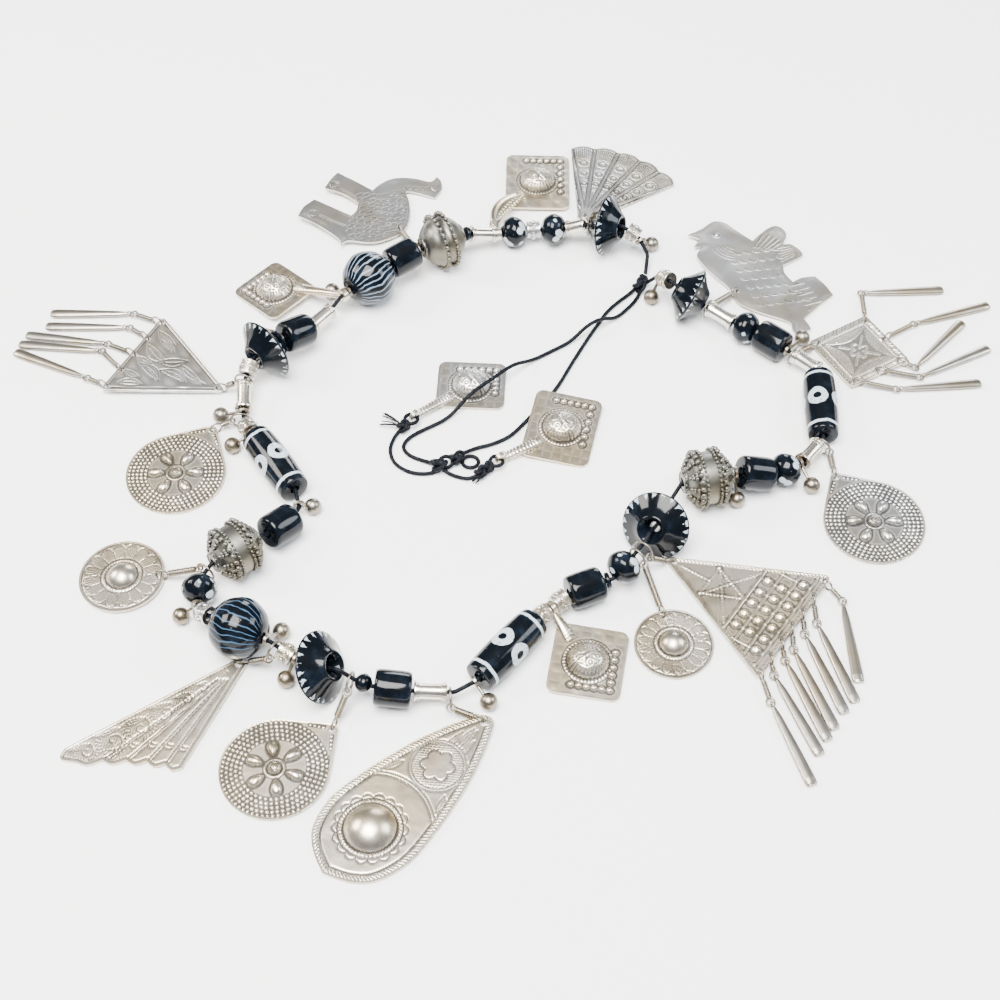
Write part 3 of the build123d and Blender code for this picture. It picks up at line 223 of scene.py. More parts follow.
def stone(name, pattern=None, white=(0.40, 0.46, 0.50)):
    """Polished black agate. A pattern gives the share of white at each place."""
    paint = Paint(name)
    cloud = paint.noise(160, 4).step(0.45, 0.75)
    colour = paint.mix(cloud, (0.0015, 0.0025, 0.004), (0.006, 0.010, 0.017))
    roughness = paint.noise(500, 3) * 0.12 + 0.05
    if pattern:
        share = pattern(paint)
        colour = paint.mix(share, colour, white)
        roughness = roughness + share * 0.12
    pits = paint.cells(420).step(0.16, 0.05)
    surface = paint.bump(paint.noise(120, 2), 0.0004, 0.25)
    surface = paint.bump(pits, -0.00008, 0.4, surface)
    return paint.done(Base_Color=colour, Roughness=roughness, Normal=surface, Specular_IOR_Level=0.22)


def along_and_angle(paint):
    """Place along the bead's own X axis, and the angle round it in whole turns."""
    along, aside, upward = paint.parts()
    return along, reckon("ARCTAN2", upward, aside) * (1 / WHOLE_TURN)


def rim_teeth(paint):
    """Short chalky teeth just inside the rim, on both sides."""
    _, angle = along_and_angle(paint)
    saw = (angle * 22.0 + paint.noise(260, 3) * 1.3).zigzag()
    length = paint.noise(110, 2) * 0.16 + 0.10
    inward = 1.0 - paint.attribute("reach")
    mark = (length - saw * 0.52 - inward).step(0.0, 0.02)
    return mark * inward.step(0.012, 0.035) * paint.noise(800, 4).step(0.36, 0.52)


def spots(paint):
    """Irregular white spots."""
    return (paint.cells(215) + paint.noise(600, 3) * 0.22).step(0.46, 0.40)


def meridian_lines(paint, width=0.13):
    """Thin pale lines that run from pole to pole."""
    along, angle = along_and_angle(paint)
    saw = (angle * 25.0 + paint.noise(75, 3) * 2.6).zigzag()
    line = (saw - paint.noise(120, 2) * (width * 2)).step(0.03, -0.04)
    return line * abs(along).step(0.0090, 0.0080)


def thin_lines(paint):
    """Meridian lines that are thinner and fainter."""
    return meridian_lines(paint, 0.09) * 0.75


# eye beads: where the first eye stands, and half the step from eye to eye, in whole turns
EYE_TURN, EYE_SPAN = 0.195, 0.125
# in metres: radius of the bead, radius of an eye's ring, place of the bands, drift of both, and the
# half widths where ring and band have faded out and where they are full
EYE_BEAD_RADIUS, EYE_RING, EYE_BAND, EYE_DRIFT = 0.0060, 0.0027, 0.0118, 0.0011
RING_WIDTHS, BAND_WIDTHS = (0.00135, 0.0011), (0.0007, 0.00045)


def eyes(paint):
    """Four round white eyes with dark pupils round the middle, and a white band near each end."""
    along, angle = along_and_angle(paint)
    wobble = (paint.noise(330, 3) - 0.5) * EYE_DRIFT
    band = abs(abs(along) + wobble - EYE_BAND)
    arc = (angle - (EYE_TURN - 1)).zigzag(EYE_SPAN) * (WHOLE_TURN * EYE_BEAD_RADIUS)
    ring = abs(reckon("SQRT", arc * arc + along * along) + wobble - EYE_RING)
    white = ring.step(*RING_WIDTHS) * paint.noise(1300, 2).step(0.30, 0.42)
    return reckon("MAXIMUM", band.step(*BAND_WIDTHS), white)


def waxed_cord():
    """Blue-black waxed cord with whitish flecks."""
    paint = Paint("waxed_cord")
    flecks = paint.noise(1500, 4, 0.7).step(0.56, 0.70) * 0.4
    return paint.done(Base_Color=paint.mix(flecks, (0.0012, 0.002, 0.004), (0.05, 0.07, 0.10)),
                      Roughness=0.5, Normal=paint.bump(paint.cells(1700), 0.00016, 0.8),
                      Specular_IOR_Level=0.12)


SILVER = silver("silver", (0.57, 0.565, 0.555), (0.022, 0.022, 0.022), 0.20)
WARM_SILVER = silver("warm_silver", (0.60, 0.55, 0.46), (0.026, 0.021, 0.014), 0.19)
BRIGHT_SILVER = silver("bright_silver", (0.74, 0.71, 0.66), (0.12, 0.11, 0.09), 0.12, 0.4)
WIRE_SILVER = silver("wire_silver", (0.25, 0.225, 0.19), (0.03, 0.026, 0.02), 0.22, 0.5)
ROD_SILVER = silver("rod_silver", (0.38, 0.35, 0.31), (0.04, 0.035, 0.03), 0.20, 0.5)
OLD_SILVER = silver("old_silver", (0.17, 0.168, 0.15), (0.02, 0.02, 0.017), 0.28)
BLACK = stone("black_agate")
RIMMED = stone("rim_agate", rim_teeth)
SPOTTED = stone("dotted_agate", spots)
STRIPED = stone("striped_agate", meridian_lines, (0.15, 0.21, 0.29))
DARK_STRIPED = stone("dark_striped_agate", thin_lines, (0.05, 0.10, 0.17))
EYED = stone("eye_agate", eyes)
CORD = waxed_cord()


# meshes: bend in degrees below which a piece is smooth, sides of a large and of a small turned piece
SMOOTH_BELOW = 38
FINE, COARSE = 64, 32


def add_mesh(name, points, faces, material, matrix=None, smooth_below=SMOOTH_BELOW):
    """A mesh object from points in metres and faces, smooth where it bends less than an angle."""
    mesh = bpy.data.meshes.new(name)
    mesh.from_pydata([tuple(point) for point in points], [], [tuple(face) for face in faces])
    mesh.validate()
    mesh.materials.append(material)
    smooth(mesh, smooth_below)
    obj = placed(name, mesh)
    if matrix is not None:
        obj.matrix_world = matrix
    return obj


def smooth(mesh, degrees):
    for polygon in mesh.polygons:
        polygon.use_smooth = True
    mesh.set_sharp_from_angle(angle=math.radians(degrees))


def bands(rings, sides, closed):
    """Faces between rings of points that follow each other."""
    faces = []
    for ring in range(rings if closed else rings - 1):
        low, high = ring * sides, (ring + 1) % rings * sides
        for corner in range(sides):
            step = (corner + 1) % sides
            faces.append((low + corner, low + step, high + step, high + corner))
    return faces


class Pile:
    """Points and faces of many small shapes that become one mesh."""

    def __init__(self):
        self.points = []
        self.faces = []

    def add(self, points, faces, matrix=None):
        first = len(self.points)
        self.points += [matrix @ point if matrix is not None else point for point in points]
        self.faces += [tuple(corner + first for corner in face) for face in faces]

    def ball(self, middle, radius, rows, columns, matrix=None):
        points = [UP]
        for row in range(1, rows):
            high, wide = math.cos(math.pi * row / rows), math.sin(math.pi * row / rows)
            points += [Vector((wide * x, wide * y, high)) for x, y in circle(columns)]
        points.append(-UP)
        last, base = len(points) - 1, len(points) - 1 - columns
        faces = [(0, 1 + c, 1 + (c + 1) % columns) for c in range(columns)]
        faces += [(a + 1, d + 1, c + 1, b + 1) for a, b, c, d in bands(rows - 1, columns, False)]
        faces += [(base + c, last, base + (c + 1) % columns) for c in range(columns)]
        self.add([point * radius + Vector(middle) for point in points], faces, matrix)

    def tube(self, line, radius, sides=10, closed=False, matrix=None, flat=1.0):
        """Round tube along a line of points, its ends closed unless the line is a loop."""
        line = [Vector(point) for point in line]
        count = len(line)
        points = []
        side = None
        for index, point in enumerate(line):
            after = line[(index + 1) % count] if closed or index < count - 1 else point
            before = line[index - 1] if closed or index else point
            along = (after - before).normalized()
            if side is None:
                side = along.cross(UP if abs(along.z) < 0.9 else Vector((1, 0, 0))).normalized()
            side = (side - along * side.dot(along)).normalized()
            other = along.cross(side)
            wide = radius[index] if isinstance(radius, list) else radius
            points += [point + side * (wide * x) + other * (wide * flat * y) for x, y in circle(sides)]
        faces = bands(count, sides, closed)
        if not closed:
            faces += [tuple(range(sides))[::-1], tuple(range((count - 1) * sides, count * sides))]
        self.add(points, faces, matrix)

    def lathe(self, profile, sides, matrix=None):
        """Closed ring of a profile of (along, out) turned about X."""
        points = [Vector((along, out * x, out * y)) for x, y in circle(sides) for along, out in profile]
        self.add(points, bands(sides, len(profile), True), matrix)

    def make(self, name, material, matrix=None, smooth_below=SMOOTH_BELOW):
        return add_mesh(name, self.points, self.faces, material, matrix, smooth_below)


def show(piece, slot, *nodes):
    """The piece rides on the necklace and stands for the named CAD nodes. The slot is not used."""
    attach(piece, "root")
    if nodes:
        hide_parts(*nodes)
    return piece


def islands(node):
    """Loose solids of a CAD node: for each its points and its triangles, as arrays."""
    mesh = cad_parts[node].data
    points = np.array([tuple(vertex.co) for vertex in mesh.vertices])
    merged, home = np.unique(np.round(points, 7), axis=0, return_inverse=True)
    home = home.reshape(-1)
    faces = np.array([[home[corner] for corner in polygon.vertices[:3]] for polygon in mesh.polygons])
    label = np.arange(len(merged))
    while True:
        low = label[faces].min(axis=1)
        fresh = label.copy()
        for corner in range(3):
            np.minimum.at(fresh, faces[:, corner], low)
        fresh = fresh[fresh]
        if (fresh == label).all():
            break
        label = fresh
    solid = label[faces[:, 0]]
    return [(merged, faces[solid == name]) for name in np.unique(solid)]


def off_axis(away, axis):
    """Distance of each point from an axis."""
    return np.linalg.norm(away - np.outer(away @ axis, axis), axis=1)


def bead_place(points, faces):
    """Matrix of a turned piece, whose X axis is its own axis, then its half length and radius."""
    corners = points[faces]
    areas = np.linalg.norm(np.cross(corners[:, 1] - corners[:, 0], corners[:, 2] - corners[:, 0]), axis=1)
    middles = corners.mean(axis=1)
    centre = (middles * areas[:, None]).sum(0) / areas.sum()
    spread = np.zeros((3, 3))
    for share, weight in ((corners[:, 0], 1), (corners[:, 1], 1), (corners[:, 2], 1), (middles, 9)):
        away = share - centre
        spread += weight / 12 * np.einsum("i,ij,ik->jk", areas, away, away)
    values, vectors = np.linalg.eigh(spread)
    axis = vectors[:, 0] if values[1] - values[0] > values[2] - values[1] else vectors[:, 2]
    used = points[np.unique(faces)]
    along = (used - centre) @ axis
    middle = centre + axis * (along.min() + along.max()) / 2
    x = Vector(axis) if axis[0] > 0 else -Vector(axis)
    z = (UP - x * UP.dot(x)).normalized()
    matrix = Matrix((x, z.cross(x), z)).transposed().to_4x4()
    matrix.translation = Vector(middle)
    return matrix, (along.max() - along.min()) / 2, off_axis(used - middle, axis).max()


def smooth_profile(points, steps=5):
    """Points of a smooth curve through the given ones."""
    found = []
    for index in range(len(points) - 1):
        a, b = points[index], points[index + 1]
        before, after = points[max(0, index - 1)], points[min(len(points) - 1, index + 2)]
        for t in (step / steps for step in range(steps)):
            found.append(tuple(0.5 * (2 * q + (r - p) * t + (2 * p - 5 * q + 4 * r - s) * t * t
                                      + (3 * q - p - 3 * r + s) * t ** 3)
                               for p, q, r, s in zip(before, a, b, after)))
    return found + [tuple(points[-1])]


# stone beads


def both_ways(*shares):
    """Profile of a turned piece from the shares of one half, from its end to its middle."""
    return [(-along, out) for along, out in shares if along] + list(shares[::-1])


ROUND = both_ways((1, 0.36), (0.9, 0.52), (0.62, 0.80), (0, 1))
BARREL = both_ways((1, 0.68), (0.985, 0.82), (0.93, 0.92), (0.7, 0.985), (0, 1))
LONG_BARREL = both_ways((1, 0.68), (0.99, 0.80), (0.96, 0.88), (0.7, 0.95), (0, 1))
LENS = both_ways((1, 0.41), (0.62, 0.60), (0.26, 0.84), (0.06, 0.985), (0, 1))
RING = both_ways((1, 0.8), (0.6, 1))
# kind: profile, bore and mouth radius in millimetres, material, slot
STONES = {
    "rim_bead": (LENS, 1.4, 4.3, RIMMED, "black_agate"),
    "dotted_bead": (ROUND, 1.3, 1.7, SPOTTED, "dotted_agate"),
    "striped_bead": (ROUND, 1.4, 1.8, STRIPED, "striped_agate"),
    "eye_bead": (LONG_BARREL, 1.4, 1.8, EYED, "eye_agate"),
    "barrel_bead": (BARREL, 1.4, 1.9, BLACK, "black_agate"),
}
SMALL_BORE, SMALL_MOUTH = 1.2, 1.4
# half length in metres below which a small bead is a ring
RING_HALF = 0.0012


def turned_profile(shares, half, radius, bore, mouth, steps=5):
    """Closed profile of a drilled bead whose bore opens towards its ends."""
    outer = [(along * half, out * radius) for along, out in smooth_profile(shares, steps)]
    flare = (mouth - bore) * MM
    inner = [(half * share, bore * MM + flare * abs(share) ** 1.6)
             for share in (-1, -0.75, -0.4, 0, 0.4, 0.75, 1)]
    return outer[::-1] + inner


for node in sorted(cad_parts):
    kind = node.rsplit("_", 1)[0]
    if kind in STONES:
        shares, bore, mouth, material, slot = STONES[kind]
        matrix, half, radius = bead_place(*islands(node)[0])
        pile = Pile()
        pile.lathe(turned_profile(shares, half, radius, bore, mouth), FINE)
        material = DARK_STRIPED if node == "striped_bead_2" else material
        if kind == "dotted_bead":
            matrix = matrix @ Matrix.Rotation(random.uniform(0, 6), 4, "X")
        bead = pile.make(node.replace("bead", "stone"), material, matrix, 60)
        # share of the bead's radius at each point, for the patterns on its rim
        away = np.array([math.hypot(vertex.co.y, vertex.co.z) for vertex in bead.data.vertices])
        reach = bead.data.attributes.new("reach", "FLOAT", "POINT")
        reach.data.foreach_set("value", (away / away.max()).astype(np.float32))
        show(bead, slot, node)

pile = Pile()
for solid in islands("small_black_beads"):
    matrix, half, radius = bead_place(*solid)
    shares = RING if half < RING_HALF else ROUND
    pile.lathe(turned_profile(shares, half, radius, SMALL_BORE, SMALL_MOUTH, 3), COARSE, matrix)
show(pile.make("small_stones", BLACK, smooth_below=60), "black_agate", "small_black_beads")

# silver beads: profiles, and bore radii in millimetres
FLARED = both_ways((1, 0.98), (0.97, 1), (0.90, 1), (0.87, 0.84), (0.80, 0.84), (0.77, 0.93), (0.72, 0.93),
                   (0.69, 0.78), (0.5, 0.77), (0, 0.76))
COLLARED = both_ways((1, 0.95), (0.94, 1), (0.74, 1), (0.68, 0.90), (0.3, 0.885))
BANDED = both_ways((1, 0.30), (0.95, 0.36), (0.84, 0.44), (0.66, 0.68), (0.5, 0.82), (0.44, 0.88),
                   (0.25, 0.90), (0, 0.905))
WINGED = both_ways((1, 0.30), (0.95, 0.36), (0.86, 0.50), (0.62, 0.70), (0.42, 0.79), (0.34, 0.84),
                   (0.25, 0.90), (0.16, 0.84), (0, 0.80))
TUBE_BORE, SPACER_BORE, SILVER_BORE = 2.0, 1.9, 1.7


def straight_profile(shares, half, radius, bore):
    outer = [(along * half, out * radius) for along, out in shares]
    return outer[::-1] + [(-half, bore * MM), (half, bore * MM)]


tubes = Pile()
for solid in islands("silver_tubes"):
    matrix, half, radius = bead_place(*solid)
    tubes.lathe(straight_profile(FLARED, half, radius, TUBE_BORE), COARSE, matrix)
show(tubes.make("silver_tube_beads", BRIGHT_SILVER), "silver", "silver_tubes")

# spacers: number of studs, radius of a stud, of its ring and of the ring's wire, places in the radius
SPACER_STUDS = 6
STUD, STUD_RING, STUD_WIRE = 0.95 * MM, 1.45 * MM, 0.22 * MM
STUD_AT, STUD_RING_AT = 0.87, 0.93
spacers = Pile()
for solid in islands("silver_spacers"):
    matrix, half, radius = bead_place(*solid)
    spacers.lathe(straight_profile(COLLARED, half, radius, SPACER_BORE), COARSE, matrix)
    for index, (x, y) in enumerate(circle(SPACER_STUDS)):
        spacers.ball(Vector((0, x, y)) * radius * STUD_AT, STUD, 6, 10, matrix)
        ring = []
        for along, aside in circle(12):
            spin = WHOLE_TURN * index / SPACER_STUDS + aside * STUD_RING / radius
            out = radius * STUD_RING_AT
            ring.append(Vector((along * STUD_RING, math.cos(spin) * out, math.sin(spin) * out)))
        spacers.tube(ring, STUD_WIRE, 5, True, matrix)
show(spacers.make("silver_spacer_beads", SILVER), "silver", "silver_spacers")

# granulated beads: rows of granules as (along, out) shares, granule radius in mm and count
BANDED_ROWS = [(0.94, 0.35, 0.55, 12), (0.46, 0.91, 1.02, 24), (0.27, 0.93, 0.62, 38)]
WINGED_ROWS = [(0.95, 0.33, 0.55, 12), (0.245, 0.92, 1.05, 26)]
# groups of granules: number round the bead, granule radius, (along, out) shares and step of each
GROUPS, GROUPED = 9, 0.78
BANDED_GROUPS = [(0.60, 0.79, 0), (0.60, 0.79, 1), (0.60, 0.79, -1), (0.71, 0.66, 0.5), (0.71, 0.66, -0.5),
                 (0.80, 0.55, 0)]
GROUP_STEP = 0.115
# share of the bead's radius that its core takes, and how far the size of a granule varies
CORE, GRANULES = 0.97, (0.90, 1.06)
# collar round each mouth: shares along and out, radius of its wire
COLLAR_ALONG, COLLAR_OUT, COLLAR_WIRE = 0.985, 0.335, 0.35 * MM
for node, shares, rows, group in (("granulated_bead_1", BANDED, BANDED_ROWS, BANDED_GROUPS),
                                  ("granulated_bead_2", BANDED, BANDED_ROWS, BANDED_GROUPS),
                                  ("flanged_bead_1", WINGED, WINGED_ROWS, [])):
    matrix, half, radius = bead_place(*islands(node)[0])
    pile = Pile()
    pile.lathe(straight_profile(smooth_profile(shares, 3), half, radius * CORE, SILVER_BORE), FINE)
    places = [(side * along, out, WHOLE_TURN * (index + 0.5 * (side > 0)) / count, size)
              for along, out, size, count in rows for side in (-1, 1) for index in range(count)]
    places += [(side * along, out, WHOLE_TURN * (index + step * GROUP_STEP / out) / GROUPS, GROUPED)
               for along, out, step in group for side in (-1, 1) for index in range(GROUPS)]
    for along, out, turn, size in places:
        grow = size * MM * random.uniform(*GRANULES)
        reach = min(out * radius, radius - grow * 0.8)
        pile.ball((along * half, reach * math.cos(turn), reach * math.sin(turn)), grow, 6, 8)
    out = COLLAR_OUT * radius
    for side in (-half, half):
        pile.tube([(side * COLLAR_ALONG, out * x, out * y) for x, y in circle(24)], COLLAR_WIRE, 8, True)
    show(pile.make(node.replace("bead", "silver"), OLD_SILVER, matrix), "silver", node)


# flat amulets: relief sheets

# radius of the hole that an amulet hangs by, thickness of its sheet, width of an engraved stroke
HOLE, SHEET, STROKE = 1.25, 0.9, 0.34
# spacing of a sheet's grid
SPACING = 0.29
# painted shade in a groove: its darkness for each millimetre of its depth below the relief, which is evened
# out round it in this many rounds
GROOVE_SHADE, EVEN_ROUNDS = 24.0, 6
# flat underside of a CAD sheet: how straight down it faces, how parallel and how level its faces are
DOWNWARD, PARALLEL, LEVEL = 0.9, 0.9999, 2e-5


def inside(x, y, outline):
    """Whether each point lies inside a closed outline."""
    found = np.zeros(x.shape, bool)
    for (x1, y1), (x2, y2) in zip(outline, np.roll(outline, -1, axis=0)):
        crosses = (y1 > y) != (y2 > y)
        if y1 != y2:
            found ^= crosses & (x < (x2 - x1) * (y - y1) / (y2 - y1) + x1)
    return found


def to_line(x, y, line, closed=False):
    """Distance of each point from a line of points, the nearest place on it, and the length of
    the line up to there."""
    best = np.full(x.shape, 1e9)
    near_x, near_y, run = np.zeros(x.shape), np.zeros(x.shape), np.zeros(x.shape)
    line = [tuple(point) for point in line]
    passed = 0.0
    for (x1, y1), (x2, y2) in zip(line, line[1:] + line[:1] if closed else line[1:]):
        length = math.hypot(x2 - x1, y2 - y1)
        share = np.clip(((x - x1) * (x2 - x1) + (y - y1) * (y2 - y1)) / max(length ** 2, 1e-12), 0, 1)
        px, py = x1 + share * (x2 - x1), y1 + share * (y2 - y1)
        far = np.hypot(x - px, y - py)
        nearer = far < best
        best = np.where(nearer, far, best)
        near_x, near_y = np.where(nearer, px, near_x), np.where(nearer, py, near_y)
        run = np.where(nearer, passed + share * length, run)
        passed += length
    return best, near_x, near_y, run


def ridge(far, width, height):
    """Soft ridge along a line, or a groove where its height is below zero."""
    return height * np.exp(-(far / width) ** 2)


def rounded(share):
    """Height of a half circle at a share of its radius, 0 beyond it."""
    return np.sqrt(np.clip(1 - share ** 2, 0, 1))


def boss(x, y, middle, radius, height):
    """Round boss with a crisp foot."""
    return height * rounded(np.hypot(x - middle[0], y - middle[1]) / radius)


def cap(out, radius, rise):
    """Dome: the cap of a ball."""
    ball = (radius ** 2 + rise ** 2) / (2 * rise)
    return np.where(out < radius, np.sqrt(np.clip(ball ** 2 - out ** 2, 0, None)) - ball + rise, 0)


def rope(off, phase, width, height):
    """Twisted wire: its half width and height, and its twist in radians."""
    return height * rounded(off / width) * (0.7 + 0.3 * np.sin(phase))


def zigzag(turns):
    """1 at each whole turn and 0 half way between."""
    return np.abs(turns % 1 - 0.5) * 2


def combed(phase, gain, cut):
    """Parallel strokes: 1 in a stroke and 0 between."""
    return np.clip(np.sin(phase) * gain - cut, 0, 1)


def hatch(far, run, low, high, pitch, depth):
    """Slanting strokes in a band along an edge, between two distances from it."""
    return depth * combed((run + far * 0.9) * WHOLE_TURN / pitch, 2.5, 0.4) * (far > low) * (far < high)


def leaves(rows):
    """Lines of leaves, two sides and a vein each, from base, tip, half width and bend."""
    lines = []
    for x, y, tip_x, tip_y, width, bend in rows:
        dx, dy = tip_x - x, tip_y - y
        for side in (-1, 0, 1):
            line = []
            for t in (step / 10 for step in range(11 if side else 9)):
                swell = (side * width + bend) * math.sin(math.pi * t) / math.hypot(dx, dy)
                line.append((x + dx * t - dy * swell, y + dy * t + dx * swell))
            lines.append(line)
    return lines


def strokes(x, y, lines, depth=-0.2):
    """Engraved strokes along lines."""
    z = np.zeros(x.shape)
    for line in lines:
        xs, ys = [p[0] for p in line], [p[1] for p in line]
        near = (x > min(xs) - 1) & (x < max(xs) + 1) & (y > min(ys) - 1) & (y < max(ys) + 1)
        far = to_line(x[near], y[near], line)[0]
        z[near] = np.minimum(z[near], ridge(far, STROKE, depth))
    return z


def arc(middle, radius, start, end, steps):
    """Points of an arc, its angles in degrees."""
    return [polar(radius, start + (end - start) * step / steps, middle) for step in range(steps + 1)]


def scaled(size, *lines):
    """Lines given in shares of a size."""
    return [[(x * size, y * size) for x, y in line] for line in lines]


def seat(node, turn, outline):
    """Matrix of a sheet's own frame, in metres: found from the flat underside of its CAD node,
    on which the outline's box has to fall."""
    points, faces = islands(node)[0]
    corners = points[faces]
    normals = np.cross(corners[:, 1] - corners[:, 0], corners[:, 2] - corners[:, 0])
    areas = np.linalg.norm(normals, axis=1)
    down = np.where(normals[:, 2] < -DOWNWARD * areas, areas, 0)
    widest = int(down.argmax())
    normal = -Vector(normals[widest]).normalized()
    level = float(corners[widest][0] @ np.array(normal))
    flat = normals @ np.array(normal) < -PARALLEL * areas
    flat &= np.abs(corners[:, 0] @ np.array(normal) - level) < LEVEL
    used = points[np.unique(faces[flat])]
    x = bearing(turn)
    x = (x - normal * x.dot(normal)).normalized()
    y = normal.cross(x)
    plan = np.stack([used @ np.array(x), used @ np.array(y)], axis=1)
    shift = (plan.min(0) + plan.max(0)) / 2 - (outline.min(0) + outline.max(0)) / 2 * MM
    matrix = Matrix((x, y, normal)).transposed().to_4x4()
    matrix.translation = x * shift[0] + y * shift[1] + normal * level
    return matrix


def relief_sheet(name, matrix, outline, height, material, holes=(), skin=0.0, spacing=SPACING):
    """Sheet with the given outline, whose top stands up by a height function. Its grid follows
    the outline and the holes. A skin lies that much outside the CAD sheet all round."""
    low, high = outline.min(0) - spacing, outline.max(0) + spacing
    xs = np.arange(low[0], high[0] + spacing, spacing)
    ys = np.arange(low[1], high[1] + spacing, spacing)
    middle_x, middle_y = np.meshgrid(xs[:-1] + spacing / 2, ys[:-1] + spacing / 2, indexing="ij")
    keep = inside(middle_x, middle_y, outline)
    for hx, hy, radius in holes:
        keep &= np.hypot(middle_x - hx, middle_y - hy) > radius
    grid_x, grid_y = np.meshgrid(xs, ys, indexing="ij")
    across = len(ys)
    i, j = np.nonzero(keep)
    first = i * across + j
    quads = np.stack([first, first + across, first + across + 1, first + 1], axis=1)
    sides = np.concatenate([quads[:, [a, (a + 1) % 4]] for a in range(4)])
    coded = sides[:, 0] * grid_x.size + sides[:, 1]
    rim = sides[~np.isin(coded, sides[:, 1] * grid_x.size + sides[:, 0])]
    flat_x, flat_y = grid_x.reshape(-1).copy(), grid_y.reshape(-1).copy()
    edge = np.unique(rim)
    far, near_x, near_y, _ = to_line(flat_x[edge], flat_y[edge], outline, True)
    for hx, hy, radius in holes:
        away = np.hypot(flat_x[edge] - hx, flat_y[edge] - hy)
        closer = np.abs(away - radius) < far
        near_x = np.where(closer, hx + (flat_x[edge] - hx) * radius / away, near_x)
        near_y = np.where(closer, hy + (flat_y[edge] - hy) * radius / away, near_y)
        far = np.minimum(far, np.abs(away - radius))
    flat_x[edge], flat_y[edge] = near_x, near_y
    used = np.unique(quads)
    count = len(used)
    home = np.zeros(grid_x.size, int)
    home[used] = np.arange(count)
    x, y = flat_x[used], flat_y[used]
    top = SHEET + skin + height(x, y)
    # painted shade: each point darkens by how far it lies below the evened-out relief round it, in grooves
    # and beside raised parts
    whole = np.where(inside(grid_x, grid_y, outline), height(grid_x, grid_y), 0)
    soft = whole.copy()
    for _ in range(EVEN_ROUNDS):
        soft[1:-1, 1:-1] = (soft[1:-1, 1:-1] + soft[:-2, 1:-1] + soft[2:, 1:-1] + soft[1:-1, :-2]
                            + soft[1:-1, 2:]) / 5
    shade = np.clip((soft - whole) * GROOVE_SHADE, 0, 1).reshape(-1)[used]
    border = home[edge]
    if skin:
        centre = outline.mean(0)
        x[border] += np.sign(x[border] - centre[0]) * skin
        y[border] += np.sign(y[border] - centre[1]) * skin
    # the flat underside needs only the points of the rim
    below = np.zeros(count, int)
    below[border] = count + np.arange(len(border))
    under = np.stack([x[border], y[border], np.full(len(border), -skin)], 1)
    points = np.concatenate([np.stack([x, y, top], 1), under]) * MM
    rim = home[rim]
    faces = [tuple(quad) for quad in home[quads]] + [(a, below[a], below[b], b) for a, b in rim]
    sides = [(int(below[a]) - count, int(below[b]) - count) for a, b in rim]
    filled = delaunay_2d_cdt([Vector(point[:2]) for point in under], sides, [], 2, 1e-6)
    for face in filled[2]:
        middle = sum((filled[0][corner] for corner in face), Vector((0, 0))) / len(face)
        if all((middle - Vector((hx, hy))).length > radius for hx, hy, radius in holes):
            faces.append(tuple(count + filled[3][corner][0] for corner in reversed(face)))
    sheet = add_mesh(name, points, faces, material, matrix, 50)
    # the painted groove shade is kept in the "low" attribute, which the silver materials read
    attribute = sheet.data.attributes.new("low", "FLOAT", "POINT")
    shade = np.concatenate([shade, np.zeros(len(border))])
    attribute.data.foreach_set("value", shade.astype(np.float32))
    return sheet


def amulet(name, turn, outline, relief, material, holes=(), spacing=SPACING):
    """Relief sheet that stands for an amulet's CAD node, with the hole that it hangs by."""
    sheet = relief_sheet(f"{name}_relief", seat(name, turn, outline), outline, relief, material,
                         [(0, 0, HOLE), *holes], spacing=spacing)
    show(sheet, "silver", name)


# pear discs
PEAR_RADIUS, PEAR_REACH, PEAR_TIP = 17.9, 22.5, 2.0
lean = math.degrees(math.acos((PEAR_RADIUS - PEAR_TIP) / PEAR_REACH))
PEAR = np.array(arc((PEAR_REACH, 0), PEAR_RADIUS, -180 + lean, 180 - lean, 72)
                + arc((0, 0), PEAR_TIP, 180 - lean, 180 + lean, 12))
# rings of dots: radius of the ring, radius of a dot, number
PEAR_RINGS = [(10.9, 0.50, 40), (12.4, 0.52, 46), (13.9, 0.52, 52), (15.4, 0.52, 58), (16.8, 0.42, 64)]
# petals: number, place, half length, half width, swell
PETALS, PETAL_AT, PETAL_HALF, PETAL_WIDE, PETAL_SWELL = 6, 7.0, 2.9, 1.75, 0.22


def pear_relief(x, y):
    dx = x - PEAR_REACH
    out, turn = np.hypot(dx, y), np.arctan2(y, dx)
    z = boss(x, y, (PEAR_REACH, 0), 2.3, 1.7) + ridge(out - 3.1, 0.3, 0.25) - 0.35 * (out < 1.3)
    for cosine, sine in circle(PETALS):
        along, aside = dx * cosine + y * sine - PETAL_AT, y * cosine - dx * sine
        wide = np.maximum(PETAL_WIDE + PETAL_SWELL * along, 0.3)
        share = np.hypot(along / PETAL_HALF, aside / wide)
        z = np.maximum(z, 1.75 * rounded(share)) + ridge((share - 1.12) * 2.0, 0.3, -0.12)
    for radius, size, count in PEAR_RINGS:
        aside = zigzag(turn * count / WHOLE_TURN) * math.pi * radius / count
        z = np.maximum(z, 0.42 * rounded(np.hypot(aside, out - radius) / size))
    z += ridge(to_line(x, y, PEAR, True)[0], 0.5, 0.2)
    for step in range(4):
        for sign in (-1, 1):
            z = np.maximum(z, boss(x, y, (4.4 - step * 0.9, sign * (5.6 - step * 1.15)), 0.42, 0.35))
    return z


amulet("left_pear", 241, PEAR, pear_relief, WARM_SILVER)
amulet("front_pear", 219, PEAR, pear_relief, WARM_SILVER)
amulet("right_pear", -60, PEAR, pear_relief, SILVER)


# flower discs


